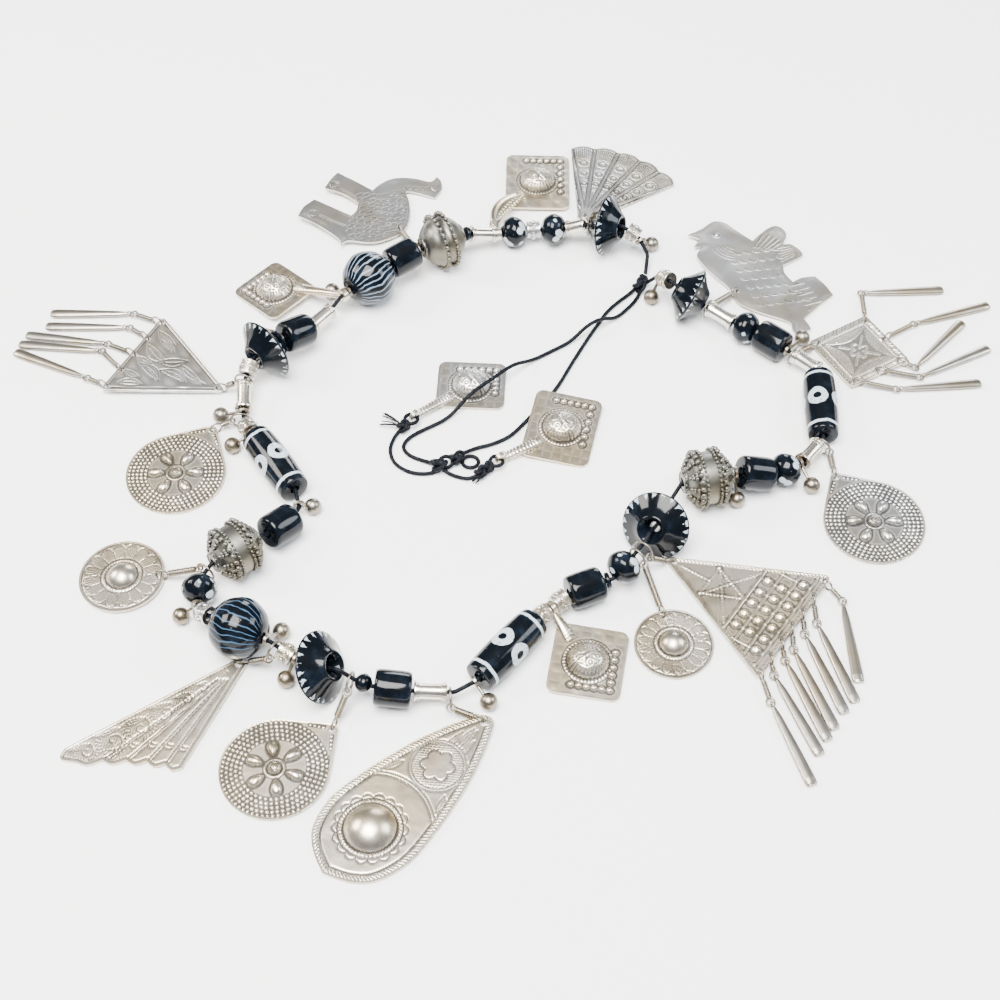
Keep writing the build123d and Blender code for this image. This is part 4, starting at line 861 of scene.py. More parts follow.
def flower(radius, petals, dome):
    """Outline and relief of a round disc with engraved petals round a dome."""
    middle = radius - 2.6

    def relief(x, y):
        out, turn = np.hypot(x - middle, y), np.arctan2(y, x - middle)
        z = cap(out, dome, 3.4) + rope(out - dome - 0.8, turn * 40 + out * 5, 0.55, 0.42)
        z += ridge(out - dome - 1.7, 0.32, -0.16) + ridge(out - radius * 0.94, 0.32, -0.12)
        petal = zigzag(turn * petals / WHOLE_TURN)
        edge = radius * (0.66 + 0.24 * rounded(petal ** 1.1))
        z += ridge(out - edge, STROKE, -0.22) * (out > dome + 2.2)
        z += ridge(petal - 1, 0.10, -0.18) * (out > radius * 0.52) * (out < edge)
        fine = np.clip(zigzag(turn * petals * 5 / WHOLE_TURN) * 3 - 1.9, 0, 1)
        z -= 0.15 * fine * (out < edge - 0.3) * (out > dome + 2.0)
        return z + 0.22 * np.clip((out - dome - 1.8) / (radius * 0.4), 0, 1) * (out < radius * 0.92)

    return np.array(arc((middle, 0), radius, 0, 360, 120)[:-1]), relief


# name, bearing, radius, petals, radius of the dome
for name, turn, radius, petals, dome in (("left_flower", 180, 14.8, 16, 5.624),
                                         ("right_flower", -76, 13.4, 18, 5.092)):
    amulet(name, turn, *flower(radius, petals, dome), WARM_SILVER)

# teardrop
TEARDROP_LENGTH, TEARDROP_HALF = 72.0, 17.0
TEARDROP_SIDE = [(-0.046, 0.0), (-0.034, 0.13), (0.02, 0.27), (0.17, 0.54), (0.34, 0.76), (0.55, 0.94),
                 (0.72, 1.0), (0.87, 0.82), (0.95, 0.48), (1.0, 0.0)]
side = [(along * TEARDROP_LENGTH, out * TEARDROP_HALF) for along, out in smooth_profile(TEARDROP_SIDE, 8)]
TEARDROP = np.array([(x, -y) for x, y in side] + side[::-1][1:-1])
DOME_AT = 0.715 * TEARDROP_LENGTH
DOME_RADIUS, DOME_RISE = 8.6, 5.0
PANEL_AT = 21.3
TEARDROP_LEAVES = [(15.6, sign * 1.2, 3.6, sign * 0.6, 1.2, sign * 0.5) for sign in (-1, 1)]
TEARDROP_LEAVES += [(14.0, sign * 3.6, 7.0, sign * 2.6, 0.8, sign * 0.6) for sign in (-1, 1)]
TEARDROP_LEAVES += [(27.6, sign * 9.2, 33.4, sign * 11.2, 1.1, sign * 0.4) for sign in (-1, 1)]


def teardrop_relief(x, y):
    far, _, _, run = to_line(x, y, TEARDROP, True)
    out, turn = np.hypot(x - DOME_AT, y), np.arctan2(y, x - DOME_AT)
    field = far > 2.9
    z = 0.16 * (far < 2.3) + ridge(far - 0.45, 0.32, -0.14) + ridge(far - 2.35, STROKE, -0.22)
    z += hatch(far, run, 0.7, 2.1, 1.25, -0.22) + ridge(far - 2.9, 0.32, -0.16)
    z += cap(out, DOME_RADIUS, DOME_RISE) + rope(out - 9.5, turn * 52 + out * 4, 0.6, 0.5)
    z += ridge(out - 10.4, 0.32, -0.18)
    z += ridge(out - 10.9 - 1.1 * np.abs(np.sin(turn * 9)), STROKE, -0.22) * field
    upper = field & (x < DOME_AT - 8)
    z += (ridge(out - 19.2, STROKE, -0.24) + ridge(out - 20.3, STROKE, -0.24)) * upper
    ring, swing = np.hypot(x - PANEL_AT, y), np.arctan2(y, x - PANEL_AT)
    star = 4.3 + 1.5 * np.abs(np.cos(3 * swing))
    carved = ridge(ring - 8.4, STROKE, -0.2) + ridge(ring - 9.3, STROKE, -0.2)
    carved += ridge(ring - star, STROKE, -0.26)
    carved -= 0.13 * combed((x * 0.8 + y * 0.6) * 7.4, 2, 0.3) * (ring > star + 0.4) * (ring < 8.2)
    carved += strokes(x, y, leaves(TEARDROP_LEAVES)) * (ring > 9.5)
    return z + carved * upper * (out > 20.5)


amulet("teardrop", -133, TEARDROP, teardrop_relief, WARM_SILVER, spacing=0.28)

# wing: its edge by the hole, its tip and the ends of its feathers, in shares of its length
WING_LENGTH = 63.0
WING_EDGE = [(-0.026, 0.028), (-0.035, 0.0), (-0.02, -0.03)]
WING_TIP = [(0.95, -0.245), (0.995, -0.225), (1.0, -0.20)]
WING_ENDS = [(0.60, 0.27), (0.645, 0.19), (0.70, 0.11), (0.77, 0.03), (0.855, -0.055), (0.955, -0.14)]
points = smooth_profile(WING_EDGE, 4)[1:] + smooth_profile(WING_TIP, 4) + [WING_ENDS[-1]]
for first, second in zip(WING_ENDS[::-1], WING_ENDS[::-1][1:]):
    middle = ((first[0] + second[0]) / 2 + 0.022, (first[1] + second[1]) / 2 + 0.012)
    points += smooth_profile([first, middle, second], 5)[1:]
WING = np.array(points + [WING_EDGE[0]]) * WING_LENGTH
# scrolls between the wing's long edge and its first feather: x, y, size, turn, handedness
WING_SCROLLS = [(13.5, -1.3, 1.3, 10, 1), (20.5, -1.9, 2.0, 200, -1), (28.5, -2.9, 2.7, 20, 1),
                (37.5, -4.2, 3.2, 210, -1), (47.0, -6.6, 3.6, 30, 1), (55.6, -9.6, 2.6, 200, -1)]


def scroll(x, y, px, py, size, turn, hand):
    """Leaf scroll: a spiral groove with rays round it."""
    spiral = [polar(size * (1 - step / 30), turn + math.degrees(hand * step * 0.26), (px, py))
              for step in range(26)]
    near = np.hypot(x - px, y - py)
    rays = zigzag(np.arctan2(y - py, x - px) * 11 / math.pi + near * 0.3)
    rays = np.clip(rays * 3 - 1.7, 0, 1) * (near < size * 1.6) * (near > size * 1.05)
    return ridge(to_line(x, y, spiral)[0], 0.24, -0.22) - 0.13 * rays


def wing_relief(x, y):
    far = to_line(x, y, WING, True)[0]
    lines = []
    for end_x, end_y in np.array(WING_ENDS[1:5]) * WING_LENGTH:
        (x1, y1), (x2, y2) = (end_x * 0.16, end_y * 0.16), (end_x * 0.975, end_y * 0.975)
        px, py = end_x * 0.80, end_y * 0.80 + 0.028 * WING_LENGTH
        lines += [[(x1, y1), (x2, y2)], [(x1, y1 + 0.3), (x2 - 0.5, y2 + 1.0)],
                  arc((px, py), 1.5, -70, 80, 8), arc((px - 1.1, py), 1.2, -60, 70, 8)]
    z = ridge(far - 1.0, 0.32, -0.16) + strokes(x, y, lines, -0.26)
    rows = []
    for px, py, size, _, hand in WING_SCROLLS:
        up = hand * size
        rows += [(px - size, py + up * 0.5, px + size * 1.4, py + up * 1.5, size * 0.3, 0),
                 (px - size * 1.2, py - up * 0.6, px + size, py - up * 1.6, size * 0.25, 0)]
    carved = sum(scroll(x, y, *row) for row in WING_SCROLLS) + strokes(x, y, leaves(rows))
    fine = combed((x * 0.6 - y * 0.8) * 7.2, 2, 0.8) * (carved > -0.03)
    feather = math.atan2(WING_ENDS[3][1], WING_ENDS[3][0]) - math.radians(1.2)
    panel = (np.arctan2(y, x) < feather) & (far > 1.4) & (x > 4)
    return z + panel * (carved - 0.10 * fine - 0.04)


amulet("wing", 225, WING, wing_relief, WARM_SILVER, spacing=0.28)

# triangles: radius of the corners, insets of the rods' holes from edge and corners, their radius
CORNER = 1.2
EDGE_INSET, SIDE_INSET, ROD_HOLE = 1.5, 3.0, 1.2


def triangle_tip(height, base):
    """Length of a triangle's sharp tip beyond its hole."""
    return (HOLE + 0.5) / math.sin(math.atan(base / 2 / height))


def triangle_outline(height, base):
    """Outline of a three-cornered plate with rounded corners."""
    back = -triangle_tip(height, base)
    corners = [Vector(place) for place in ((back, 0), (back + height, -base / 2), (back + height, base / 2))]
    found = []
    for index, here in enumerate(corners):
        one, two = corners[index - 1] - here, corners[(index + 1) % 3] - here
        half = one.angle(two) / 2
        one, two = one.normalized(), two.normalized()
        reach = CORNER / math.tan(half)
        start, end = here + one * reach, here + two * reach
        middle = here + (one + two).normalized() * CORNER / math.sin(half)
        first = math.atan2(start.y - middle.y, start.x - middle.x)
        last = math.atan2(end.y - middle.y, end.x - middle.x)
        last += WHOLE_TURN * (last < first)
        for swing in (first + (last - first) * step / 6 for step in range(7)):
            found.append((middle.x + CORNER * math.cos(swing), middle.y + CORNER * math.sin(swing)))
    return np.array(found)


def triangle_holes(height, base, count):
    """Holes of the rods along the base of a triangle."""
    far, half = height - triangle_tip(height, base) - EDGE_INSET, base / 2 - SIDE_INSET
    return [(far, half * (1 - 2 * index / (count - 1)), ROD_HOLE) for index in range(count)]


LEFT_HEIGHT, LEFT_BASE, LEFT_RODS = 42.0, 42.5, 5
LEFT_TRIANGLE = triangle_outline(LEFT_HEIGHT, LEFT_BASE)
# leaves of the left triangle: base, tip, half width and bend
TRIANGLE_LEAVES = [
    (8, 0.0, 18, -3.4, 1.5, 0.8), (12, 3.0, 24, 2.4, 2.0, -1.2), (17, -6.4, 27, -1.0, 2.0, 1.0),
    (21, 7.2, 33, 3.0, 2.1, -1.0), (24, -1.4, 35, -6.4, 2.2, 1.2), (26, -11.0, 35.0, -14.4, 1.6, 0.8),
    (26, 11.4, 34.6, 15.2, 1.6, -0.8), (29, 8.8, 35.4, 8.2, 1.3, 0.6), (5, 0.4, 11, 1.4, 0.7, 0.2),
    (28.6, 1.0, 35.2, 0.6, 1.3, 0.5), (24.0, -7.6, 31.6, -10.4, 1.2, -0.5)]


def left_triangle_relief(x, y):
    far = to_line(x, y, LEFT_TRIANGLE, True)[0]
    broad = 0.10 * np.sin(x * 0.55 + y * 0.3) * np.sin(y * 0.6 - x * 0.15)
    engraved = strokes(x, y, leaves(TRIANGLE_LEAVES), -0.22) * (x < 36)
    return ridge(far - 0.4, 0.45, 0.30) + ridge(far - 1.5, 0.32, -0.14) + (broad + engraved) * (far > 1.8)


amulet("left_triangle", 153, LEFT_TRIANGLE, left_triangle_relief, SILVER,
       triangle_holes(LEFT_HEIGHT, LEFT_BASE, LEFT_RODS))

BIG_HEIGHT, BIG_BASE, BIG_RODS = 52.0, 50.0, 7
BIG_TRIANGLE = triangle_outline(BIG_HEIGHT, BIG_BASE)
BIG_HOLES = triangle_holes(BIG_HEIGHT, BIG_BASE, BIG_RODS)
# field of bosses: pitch, rows, its far end and its near end
BIG_PITCH, BIG_ROWS = 5.4, 3
BIG_FIELD = BIG_HOLES[0][0] - EDGE_INSET
BIG_FOOT = BIG_FIELD - BIG_PITCH * (BIG_ROWS + 0.1)
# ribs above the field, in shares of its near end's distance and half width
BIG_RIBS = [((1, -1), (0.52, 0.50)), ((1, 1), (0.52, -0.50)), ((1, 0), (0.50, 0.48)), ((1, 0), (0.50, -0.48)),
            ((0.50, 0), (3.0 / BIG_FOOT, 0)), ((0.51, -0.5), (0.51, 0.5))]


def big_triangle_relief(x, y):
    far, _, _, run = to_line(x, y, BIG_TRIANGLE, True)
    slope = BIG_BASE / 2 / BIG_HEIGHT
    z = 0.34 * np.clip(1.5 - far, 0, 1) + hatch(far, run, 0.0, 1.2, 1.3, -0.16)
    for row in range(BIG_ROWS):
        cx = BIG_FIELD - BIG_PITCH * (row + 0.55)
        z += ridge(x - cx - BIG_PITCH / 2, STROKE, 0.24) * (far > 1.2)
        for cy in (column * BIG_PITCH for column in range(-3, 4)):
            if abs(cy) < slope * cx - 1.9:
                z = np.maximum(z, boss(x, y, (cx, cy), 1.75, 1.25))
    cells = (x > BIG_FIELD - BIG_PITCH * (BIG_ROWS + 0.05)) & (x < BIG_FIELD) & (far > 1.2)
    z += ridge((zigzag(y / BIG_PITCH) - 1) * BIG_PITCH / 2, STROKE, 0.24) * cells
    z += ridge(x - BIG_FOOT, 0.45, 0.34) * (far > 0.8)
    upper = (x < BIG_FOOT - 0.6) & (far > 1.4)
    for rib in BIG_RIBS:
        away, _, _, along = to_line(x, y, [(BIG_FOOT * u, slope * BIG_FOOT * v) for u, v in rib])
        z += ridge(away, 0.42, 0.32) * upper * (0.75 + 0.25 * np.sin(along * 5))
    grain = np.clip(np.sin(x * 5.1 + y * 3.7) * np.sin(y * 5.3 - x * 2.9) * 3, 0, 1)
    return z - 0.06 * grain * upper


amulet("big_triangle", -35, BIG_TRIANGLE, big_triangle_relief, WARM_SILVER, BIG_HOLES)

# fan
FAN_RADIUS, FAN_OPENING, FAN_BLADES, FAN_HUB, FAN_NOTCH = 44.0, 68.0, 5, 3.0, 1.3
FAN_STEP = FAN_OPENING / FAN_BLADES
FAN_EDGE = FAN_RADIUS * math.cos(math.radians(FAN_STEP / 2)) - FAN_NOTCH
# arc at the end of each blade
chord_at, half_chord = polar(FAN_EDGE, FAN_STEP / 2)
rise = FAN_RADIUS - chord_at
end_radius = (half_chord ** 2 + rise ** 2) / (2 * rise)
half_end = math.degrees(math.asin(half_chord / end_radius))
points = []
for blade in range(FAN_BLADES):
    turn = FAN_STEP * (blade + 0.5) - FAN_OPENING / 2
    points += arc(polar(FAN_RADIUS - end_radius, turn), end_radius, turn - half_end, turn + half_end, 9)[:-1]
hub_start = FAN_OPENING / 2 + 60
points += [polar(FAN_EDGE, FAN_OPENING / 2)] + arc((0, 0), FAN_HUB, hub_start, 360 - hub_start, 10)
FAN = np.array(points)


def fan_relief(x, y):
    out, turn = np.hypot(x, y), np.degrees(np.arctan2(y, x))
    far = to_line(x, y, FAN, True)[0]
    blade = ((turn + FAN_OPENING / 2) / FAN_STEP) % 1
    breadth = math.radians(FAN_STEP) * out
    aside, edge = (blade - 0.5) * breadth, np.minimum(blade, 1 - blade) * breadth
    z = ridge(edge, 0.40, 0.32) * (out > 5) + ridge(edge - 0.9, 0.32, -0.12) * (out > 9)
    comb = combed(turn * 5.3, 3, 0.6) * (out > 37.0 - 0.06 * aside ** 2) * (far > 1.0) * (edge > 1.0)
    z += ridge(far - 0.8, 0.32, -0.14) - 0.16 * comb
    bow = out + 0.11 * aside ** 2
    for start in (36.6, 30.0, 23.8, 17.8):
        z += (ridge(bow - start, STROKE, -0.22) + ridge(bow - start + 1.0, STROKE, -0.18)) * (edge > 0.9)
    for start in (36.6, 30.0, 23.8):
        z += ridge(np.hypot(out - start + 3.4, aside) - start * 0.042, STROKE, -0.2)
    return z


amulet("fan", 62, FAN, fan_relief, SILVER)

# square plate
PLATE_SIDE, PLATE_INSET = 26.8, 3.3
PLATE_DIAGONAL = PLATE_SIDE * math.sqrt(2)
PLATE_MIDDLE = PLATE_DIAGONAL / 2 - PLATE_INSET
points = []
for direction in (45, 135, 225, 315):
    place = polar(PLATE_DIAGONAL / 2 - CORNER * math.sqrt(2), direction + 45, (PLATE_MIDDLE, 0))
    points += arc(place, CORNER, direction, direction + 90, 6)
SQUARE_PLATE = np.array(points)
# holes of the rods, in shares of the side along two edges
PLATE_HOLES = [((u + v) * PLATE_DIAGONAL / 2 - PLATE_INSET, (v - u) * PLATE_DIAGONAL / 2, ROD_HOLE)
               for u, v in ((0.09, 0.93), (0.50, 0.93), (0.93, 0.86), (0.93, 0.50), (0.93, 0.09))]


def square_plate_relief(x, y):
    dx = x - PLATE_MIDDLE
    u, v = (dx + y) / math.sqrt(2), (dx - y) / math.sqrt(2)
    edge = PLATE_SIDE / 2 - np.maximum(np.abs(u), np.abs(v))
    along = np.where(np.abs(u) > np.abs(v), v, u)
    z = ridge(edge - 0.3, 0.35, 0.16) + ridge(edge - 2.3, 0.32, -0.14)
    z -= 0.22 * combed((along + edge) * 4.6, 2.5, 0.4) * (edge > 0.6) * (edge < 2.1)
    z += ridge(edge - 2.95, STROKE, 0.36) + ridge(edge - 3.7, 0.32, -0.18)
    out, turn = np.hypot(u, v), np.arctan2(v, u)
    z += ridge(out - 0.9 - 2.7 * np.abs(np.cos(2 * turn)) ** 0.9, STROKE, -0.26)
    cross = np.minimum(np.abs(u - v), np.abs(u + v)) / math.sqrt(2)
    carved = ridge(cross, 0.32, -0.18) * (out > 2.0) * (out < 8.0)
    inward = np.abs(edge - 3.9)
    plume = 3.4 * np.cos(np.clip(along / 9.2, -1, 1) * math.pi / 2)
    carved -= 0.16 * combed(along * 7.0 + np.sign(along) * inward * 3.2, 2, 0.2) * (inward < plume)
    carved += ridge(inward - plume, 0.32, -0.18)
    return z + carved * (edge > 3.9)


amulet("square_plate", -15, SQUARE_PLATE, square_plate_relief, BRIGHT_SILVER, PLATE_HOLES, 0.36)


# elephant and bird


def animal_outline(size, offset, corners, bends):
    """Closed outline of smooth runs from corner to corner, in shares of a size. Each run passes
    the points between its two corners."""
    found = []
    for index, corner in enumerate(corners):
        run = [corner, *bends[index], corners[(index + 1) % len(corners)]]
        found += smooth_profile(run, 6)[:-1] if bends[index] else [corner]
    return np.array(found) * size + np.array(offset)


ELEPHANT_LENGTH = 57.0
ELEPHANT = animal_outline(
    ELEPHANT_LENGTH, (0.4, 2.4),
    [(-0.47, 0.51), (-0.555, 0.345), (-0.305, 0.20), (-0.35, 0.065), (-0.62, 0.22), (-0.725, 0.045),
     (-0.41, -0.24), (0.24, 0.28), (0.25, 0.505), (-0.21, 0.335)],
    [[(-0.51, 0.45)], [(-0.42, 0.29)], [(-0.315, 0.12)], [(-0.50, 0.15)], [(-0.69, 0.14)],
     [(-0.58, -0.04), (-0.425, -0.175)],
     [(-0.36, -0.19), (-0.22, -0.20), (-0.115, -0.175), (0.02, -0.08), (0.065, 0.07), (0.055, 0.23),
      (0.03, 0.335), (0.12, 0.325)],
     [(0.285, 0.37), (0.28, 0.455)],
     [(0.205, 0.45), (0.10, 0.475), (-0.01, 0.48), (-0.095, 0.455), (-0.17, 0.39)],
     [(-0.245, 0.36), (-0.36, 0.44)]])


def elephant_relief(x, y):
    size = ELEPHANT_LENGTH
    far = to_line(x, y, ELEPHANT, True)[0]
    waves = 0.16 * np.sin(x / size * 13) * np.sin(y / size * 12 + 1) * np.clip(far / 2, 0, 1)
    marks = []
    draw = random.Random(7)
    for row in range(11):
        for column in range(9):
            cx = (-0.36 + column * 0.050 + draw.uniform(-0.014, 0.014) + row * 0.004) * size
            cy = (-0.14 + row * 0.047 + draw.uniform(-0.009, 0.009)) * size
            swing = 28 + 14 * math.sin(column * 0.7 + row * 0.3)
            marks.append([(cx, cy), polar(draw.uniform(1.3, 2.6), swing, (cx, cy))])
    for step in range(8):
        start, high = 0.03 + step * 0.022, 0.01 * (step % 2)
        marks += scaled(size, [(start, 0.41 + high), (start + 0.02, 0.425 + high)])
    marks += scaled(size, [(-0.56, 0.10), (-0.47, 0.045), (-0.38, 0.0)])
    marks += [arc((-0.475 * size, 0.425 * size), 1.7, 30, 330, 12),
              arc((-0.615 * size, 0.115 * size), 1.7, 60, 300, 12),
              arc((0.255 * size, 0.43 * size), 1.5, 90, 270, 8)]
    return waves + strokes(x, y, marks) * (far > 0.9)


amulet("elephant", 0, ELEPHANT, elephant_relief, SILVER)

BIRD_LENGTH = 56.0
BIRD = animal_outline(
    BIRD_LENGTH, (0.8, 0.6),
    [(-0.32, 0.54), (0.14, 0.49), (0.355, 0.465), (0.335, 0.25), (0.39, 0.085), (0.55, 0.145), (0.66, -0.035),
     (0.43, -0.27), (0.47, -0.365), (0.36, -0.43), (-0.21, 0.425), (-0.285, 0.42), (-0.24, 0.50)],
    [[(-0.22, 0.60), (-0.13, 0.68), (-0.045, 0.67), (0.035, 0.59)],
     [(0.20, 0.56), (0.26, 0.62), (0.32, 0.65), (0.37, 0.62), (0.39, 0.56)],
     [(0.42, 0.46), (0.485, 0.38), (0.46, 0.33)], [(0.34, 0.17)], [(0.46, 0.13)], [(0.61, 0.07)],
     [(0.54, -0.15)], [(0.455, -0.32)], [(0.41, -0.41)],
     [(0.34, -0.37), (0.32, -0.30), (0.12, -0.21), (-0.01, -0.125), (-0.075, 0.025), (-0.17, 0.145),
      (-0.27, 0.325)],
     [], [], []])
# feathers: start and end in shares of the length, then how both move on in millimetres
BIRD_FEATHERS = [(0.16, 0.44, 0.24, 0.58, 1.6, -0.3, 1.9, -1.0),
                 (0.38, 0.06, 0.48, 0.09, 1.2, -2.6, 1.4, -2.4),
                 (0.34, 0.30, 0.43, 0.36, 0.0, 1.5, 0.0, 1.1)]


def bird_relief(x, y):
    size = BIRD_LENGTH
    far = to_line(x, y, BIRD, True)[0]
    eye_x, eye_y = -0.10 * size, 0.555 * size
    z = 0.16 * np.sin(x / size * 11 + 1) * np.sin(y / size * 12) * np.clip(far / 2, 0, 1)
    z += ridge(np.hypot(x - eye_x, y - eye_y) - 1.2, STROKE, -0.2) + boss(x, y, (eye_x, eye_y), 0.6, 0.3)
    lines = [arc(((-0.02 + column * 0.066 + 0.03 * row) * size, (0.38 - row * 0.082 + column * 0.012) * size),
                 1.6, 200, 300, 5) for row in range(7) for column in range(6)]
    for x1, y1, x2, y2, *on in BIRD_FEATHERS:
        lines += [[(x1 * size + feather * on[0], y1 * size + feather * on[1]),
                   (x2 * size + feather * on[2], y2 * size + feather * on[3])] for feather in range(6)]
    lines += [arc((0.02 * size, 0.47 * size), 3.0 + row * 1.5, 200, 262, 6) for row in range(5)]
    return z + strokes(x, y, lines, -0.14) * (far > 0.9)


amulet("bird", 0, BIRD, bird_relief, SILVER)

# domed square amulets: the relief lies over the CAD sheet, and the CAD bail shows
SQUARE_CORNER, SQUARE_DOME, SQUARE_RISE = 3.0, 7.4, 4.8
DOTS, DOT, DOT_INSET = 6, 1.2, 3.6


def square_relief(width, height):
    """Outline and relief of a domed square amulet: its dome and its two rows of dots."""
    side_x, side_y = width / 2 - SQUARE_CORNER, height / 2 - SQUARE_CORNER
    outline = []
    for start, sx, sy in ((0, 1, 1), (90, -1, 1), (180, -1, -1), (270, 1, -1)):
        outline += arc((sx * side_x, sy * side_y), SQUARE_CORNER, start, start + 90, 8)
    dome = SQUARE_DOME

    def relief(x, y):
        out, turn = np.hypot(x, y), np.arctan2(y, x)
        z = cap(out, dome, SQUARE_RISE) + 0.05 * (out < dome)
        ribs = np.clip(1 - zigzag(turn * 14 / math.pi) * 1.8, 0, 1)
        z += 0.26 * ribs * (out < dome - 0.4) * (out > dome * 0.66) + ridge(out - dome * 0.62, 0.28, 0.24)
        for cosine, sine in circle(5, 0.4):
            near = np.hypot(x - dome * 0.40 * cosine, y - dome * 0.40 * sine)
            z += ridge(near - 1.15, 0.28, 0.24) + ridge(near, 0.4, 0.2)
        z += ridge((x + y) / math.sqrt(2), 0.4, 0.34) * (out < dome)
        z += rope(out - dome - 0.5, turn * 40, 0.6, 0.42) + 0.07 * np.sin(x * 0.9 + 1) * np.sin(y * 0.8)
        row_x, row_y = width / 2 - DOT_INSET, height / 2 - DOT_INSET
        for share in (1 - 1.5 * dot / (DOTS - 1) for dot in range(DOTS)):
            z = np.maximum(z, boss(x, y, (row_x, share * row_y), DOT, DOT))
            z = np.maximum(z, boss(x, y, (share * row_x, row_y), DOT, DOT))
        return z

    return np.array(outline), relief


# name, width, height, bearing, material
SQUARES = [("top_square", 26.0, 33.0, -1, WARM_SILVER), ("left_square", 24.6, 22.6, 136, WARM_SILVER),
           ("front_square", 27.0, 24.6, -100, WARM_SILVER), ("centre_square", 25.0, 31.0, -13, WARM_SILVER),
           ("centre_left_square", 25.5, 22.5, -3, SILVER)]
# ribbed strap: share of the plate where its foot is, its height there, how far it ends from the eye
BAIL_SHARE, FOOT_HEIGHT, EYE_GAP = 0.27, 1.35, 2.2
# its half width, how much it tapers, depth and pitch of its ribs, flatness, steps in each rib
STRAP_WIDE, STRAP_TAPER, RIB_DEPTH, RIB_PITCH, STRAP_FLAT, RIB_STEPS = 2.45, 0.85, 0.5, 1.15, 0.62, 4
# bend of a strap beside its eye
KNEES = {"top_square": (-1.6, 8.4)}
for name, width, height, turn, material in SQUARES:
    outline, relief = square_relief(width, height)
    matrix = seat(name, turn, outline)
    show(relief_sheet(f"{name}_relief", matrix, outline, relief, material, skin=0.04), "silver")
    foot = matrix @ (Vector((-BAIL_SHARE * width, -BAIL_SHARE * height, FOOT_HEIGHT)) * MM)
    solid = np.array([tuple(vertex.co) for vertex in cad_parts[name].data.vertices])
    far = np.hypot(solid[:, 0] - matrix.translation.x, solid[:, 1] - matrix.translation.y)
    toward = Vector(solid[np.argsort(-far)[:12]].mean(0)) - foot
    eye = foot + toward * (1 - EYE_GAP * MM / toward.length)
    route = [foot, eye]
    if name in KNEES:
        route.insert(1, eye + Vector((*KNEES[name], 0)) * MM)
    route = [Vector(point) for point in smooth_profile([tuple(point) for point in route], 24)]
    length = sum((b - a).length for a, b in zip(route, route[1:]))
    steps = int(length / (RIB_PITCH * MM)) * RIB_STEPS
    line, wide = [], []
    for step in range(steps + 1):
        place = step / steps * (len(route) - 1)
        index = min(int(place), len(route) - 2)
        line.append(route[index].lerp(route[index + 1], place - index))
        groove = RIB_DEPTH * (step % RIB_STEPS >= RIB_STEPS / 2)
        wide.append((STRAP_WIDE - STRAP_TAPER * step / steps - groove) * MM)
    strap = Pile()
    strap.tube(line, wide, 14, flat=STRAP_FLAT)
    show(strap.make(f"{name}_strap", material, smooth_below=50), "silver")

# what stays as the CAD made it
CAD_LOOKS = [(WIRE_SILVER, "silver", ("amulet_rings", "ball_drops", "amulet_links", "rod_links")),
             (CORD, "waxed_cord", ("thread",)),
             (ROD_SILVER, "silver", ("left_triangle_rods", "square_plate_rods", "big_triangle_rods")),
             (WARM_SILVER, "silver", ("top_square", "left_square", "front_square", "centre_square")),
             (SILVER, "silver", ("centre_left_square",))]
for material, slot, names in CAD_LOOKS:
    for node in (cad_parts[name] for name in names):
        node.data.materials.clear()
        node.data.materials.append(material)
        smooth(node.data, 35)

# wound wire on the links: its radius, gaps to a link's thin and wide end, radius of the links' bodies
COIL_WIRE, THIN_GAP, WIDE_GAP = 0.30, 3.05, 4.9
LINK_BODIES = {"amulet_links": 0.95, "rod_links": 0.70}
# length at a link's ends in which its width is measured, shortest coil, slack round its core, in metres
END_LENGTH, SHORTEST, SLACK = 0.003, 0.0008, 0.0002
coils = Pile()
for node, body in LINK_BODIES.items():
    for points, faces in islands(node):
        used = points[np.unique(faces)]
        centre = (used.min(0) + used.max(0)) / 2
        _, _, vectors = np.linalg.svd(used - used.mean(0), full_matrices=False)
        axis = vectors[0]
        along = (used - centre) @ axis
        start, end = along.min(), along.max()
        off = off_axis(used - centre, axis)
        thin_first = off[along < start + END_LENGTH].max() < off[along > end - END_LENGTH].max()
        gaps = (THIN_GAP, WIDE_GAP) if thin_first else (WIDE_GAP, THIN_GAP)
        low, high = start + gaps[0] * MM, end - gaps[1] * MM
        if high - low < SHORTEST:
            continue
        core = used[(along > low - SLACK) & (along < high + SLACK)]
        middle = Vector(core.mean(0)) if len(core) > 8 else Vector(centre)
        x = Vector(axis)
        y = x.cross(UP).normalized()
        z = x.cross(y)
        base = middle - x * Vector(middle - Vector(centre)).dot(x)
        turns = (high - low) / (2 * COIL_WIRE * MM)
        steps = int(turns * 9)
        line = []
        for share in (step / steps for step in range(steps + 1)):
            swing = WHOLE_TURN * turns * share
            line.append(base + x * (low + (high - low) * share)
                        + (y * math.cos(swing) + z * math.sin(swing)) * body * MM)
        coils.tube(line, COIL_WIRE * MM, 5)
show(coils.make("wound_wire", WIRE_SILVER, smooth_below=80), "silver")

# cord tails: points in plan, with a height where the cord doesn't lie on the table
CORD_DIAMETER = 1.5
TAIL_HEIGHT = 0.8
CROSSING = TAIL_HEIGHT + CORD_DIAMETER + 3.1
OVER_AMULET = 6.3
IN_KNOT = 1.7
KNOT_HEIGHT = 1.6


def laid(*points):
    """Points of a cord, at the height of a tail where none is given."""
    return [(*point, TAIL_HEIGHT)[:3] for point in points]


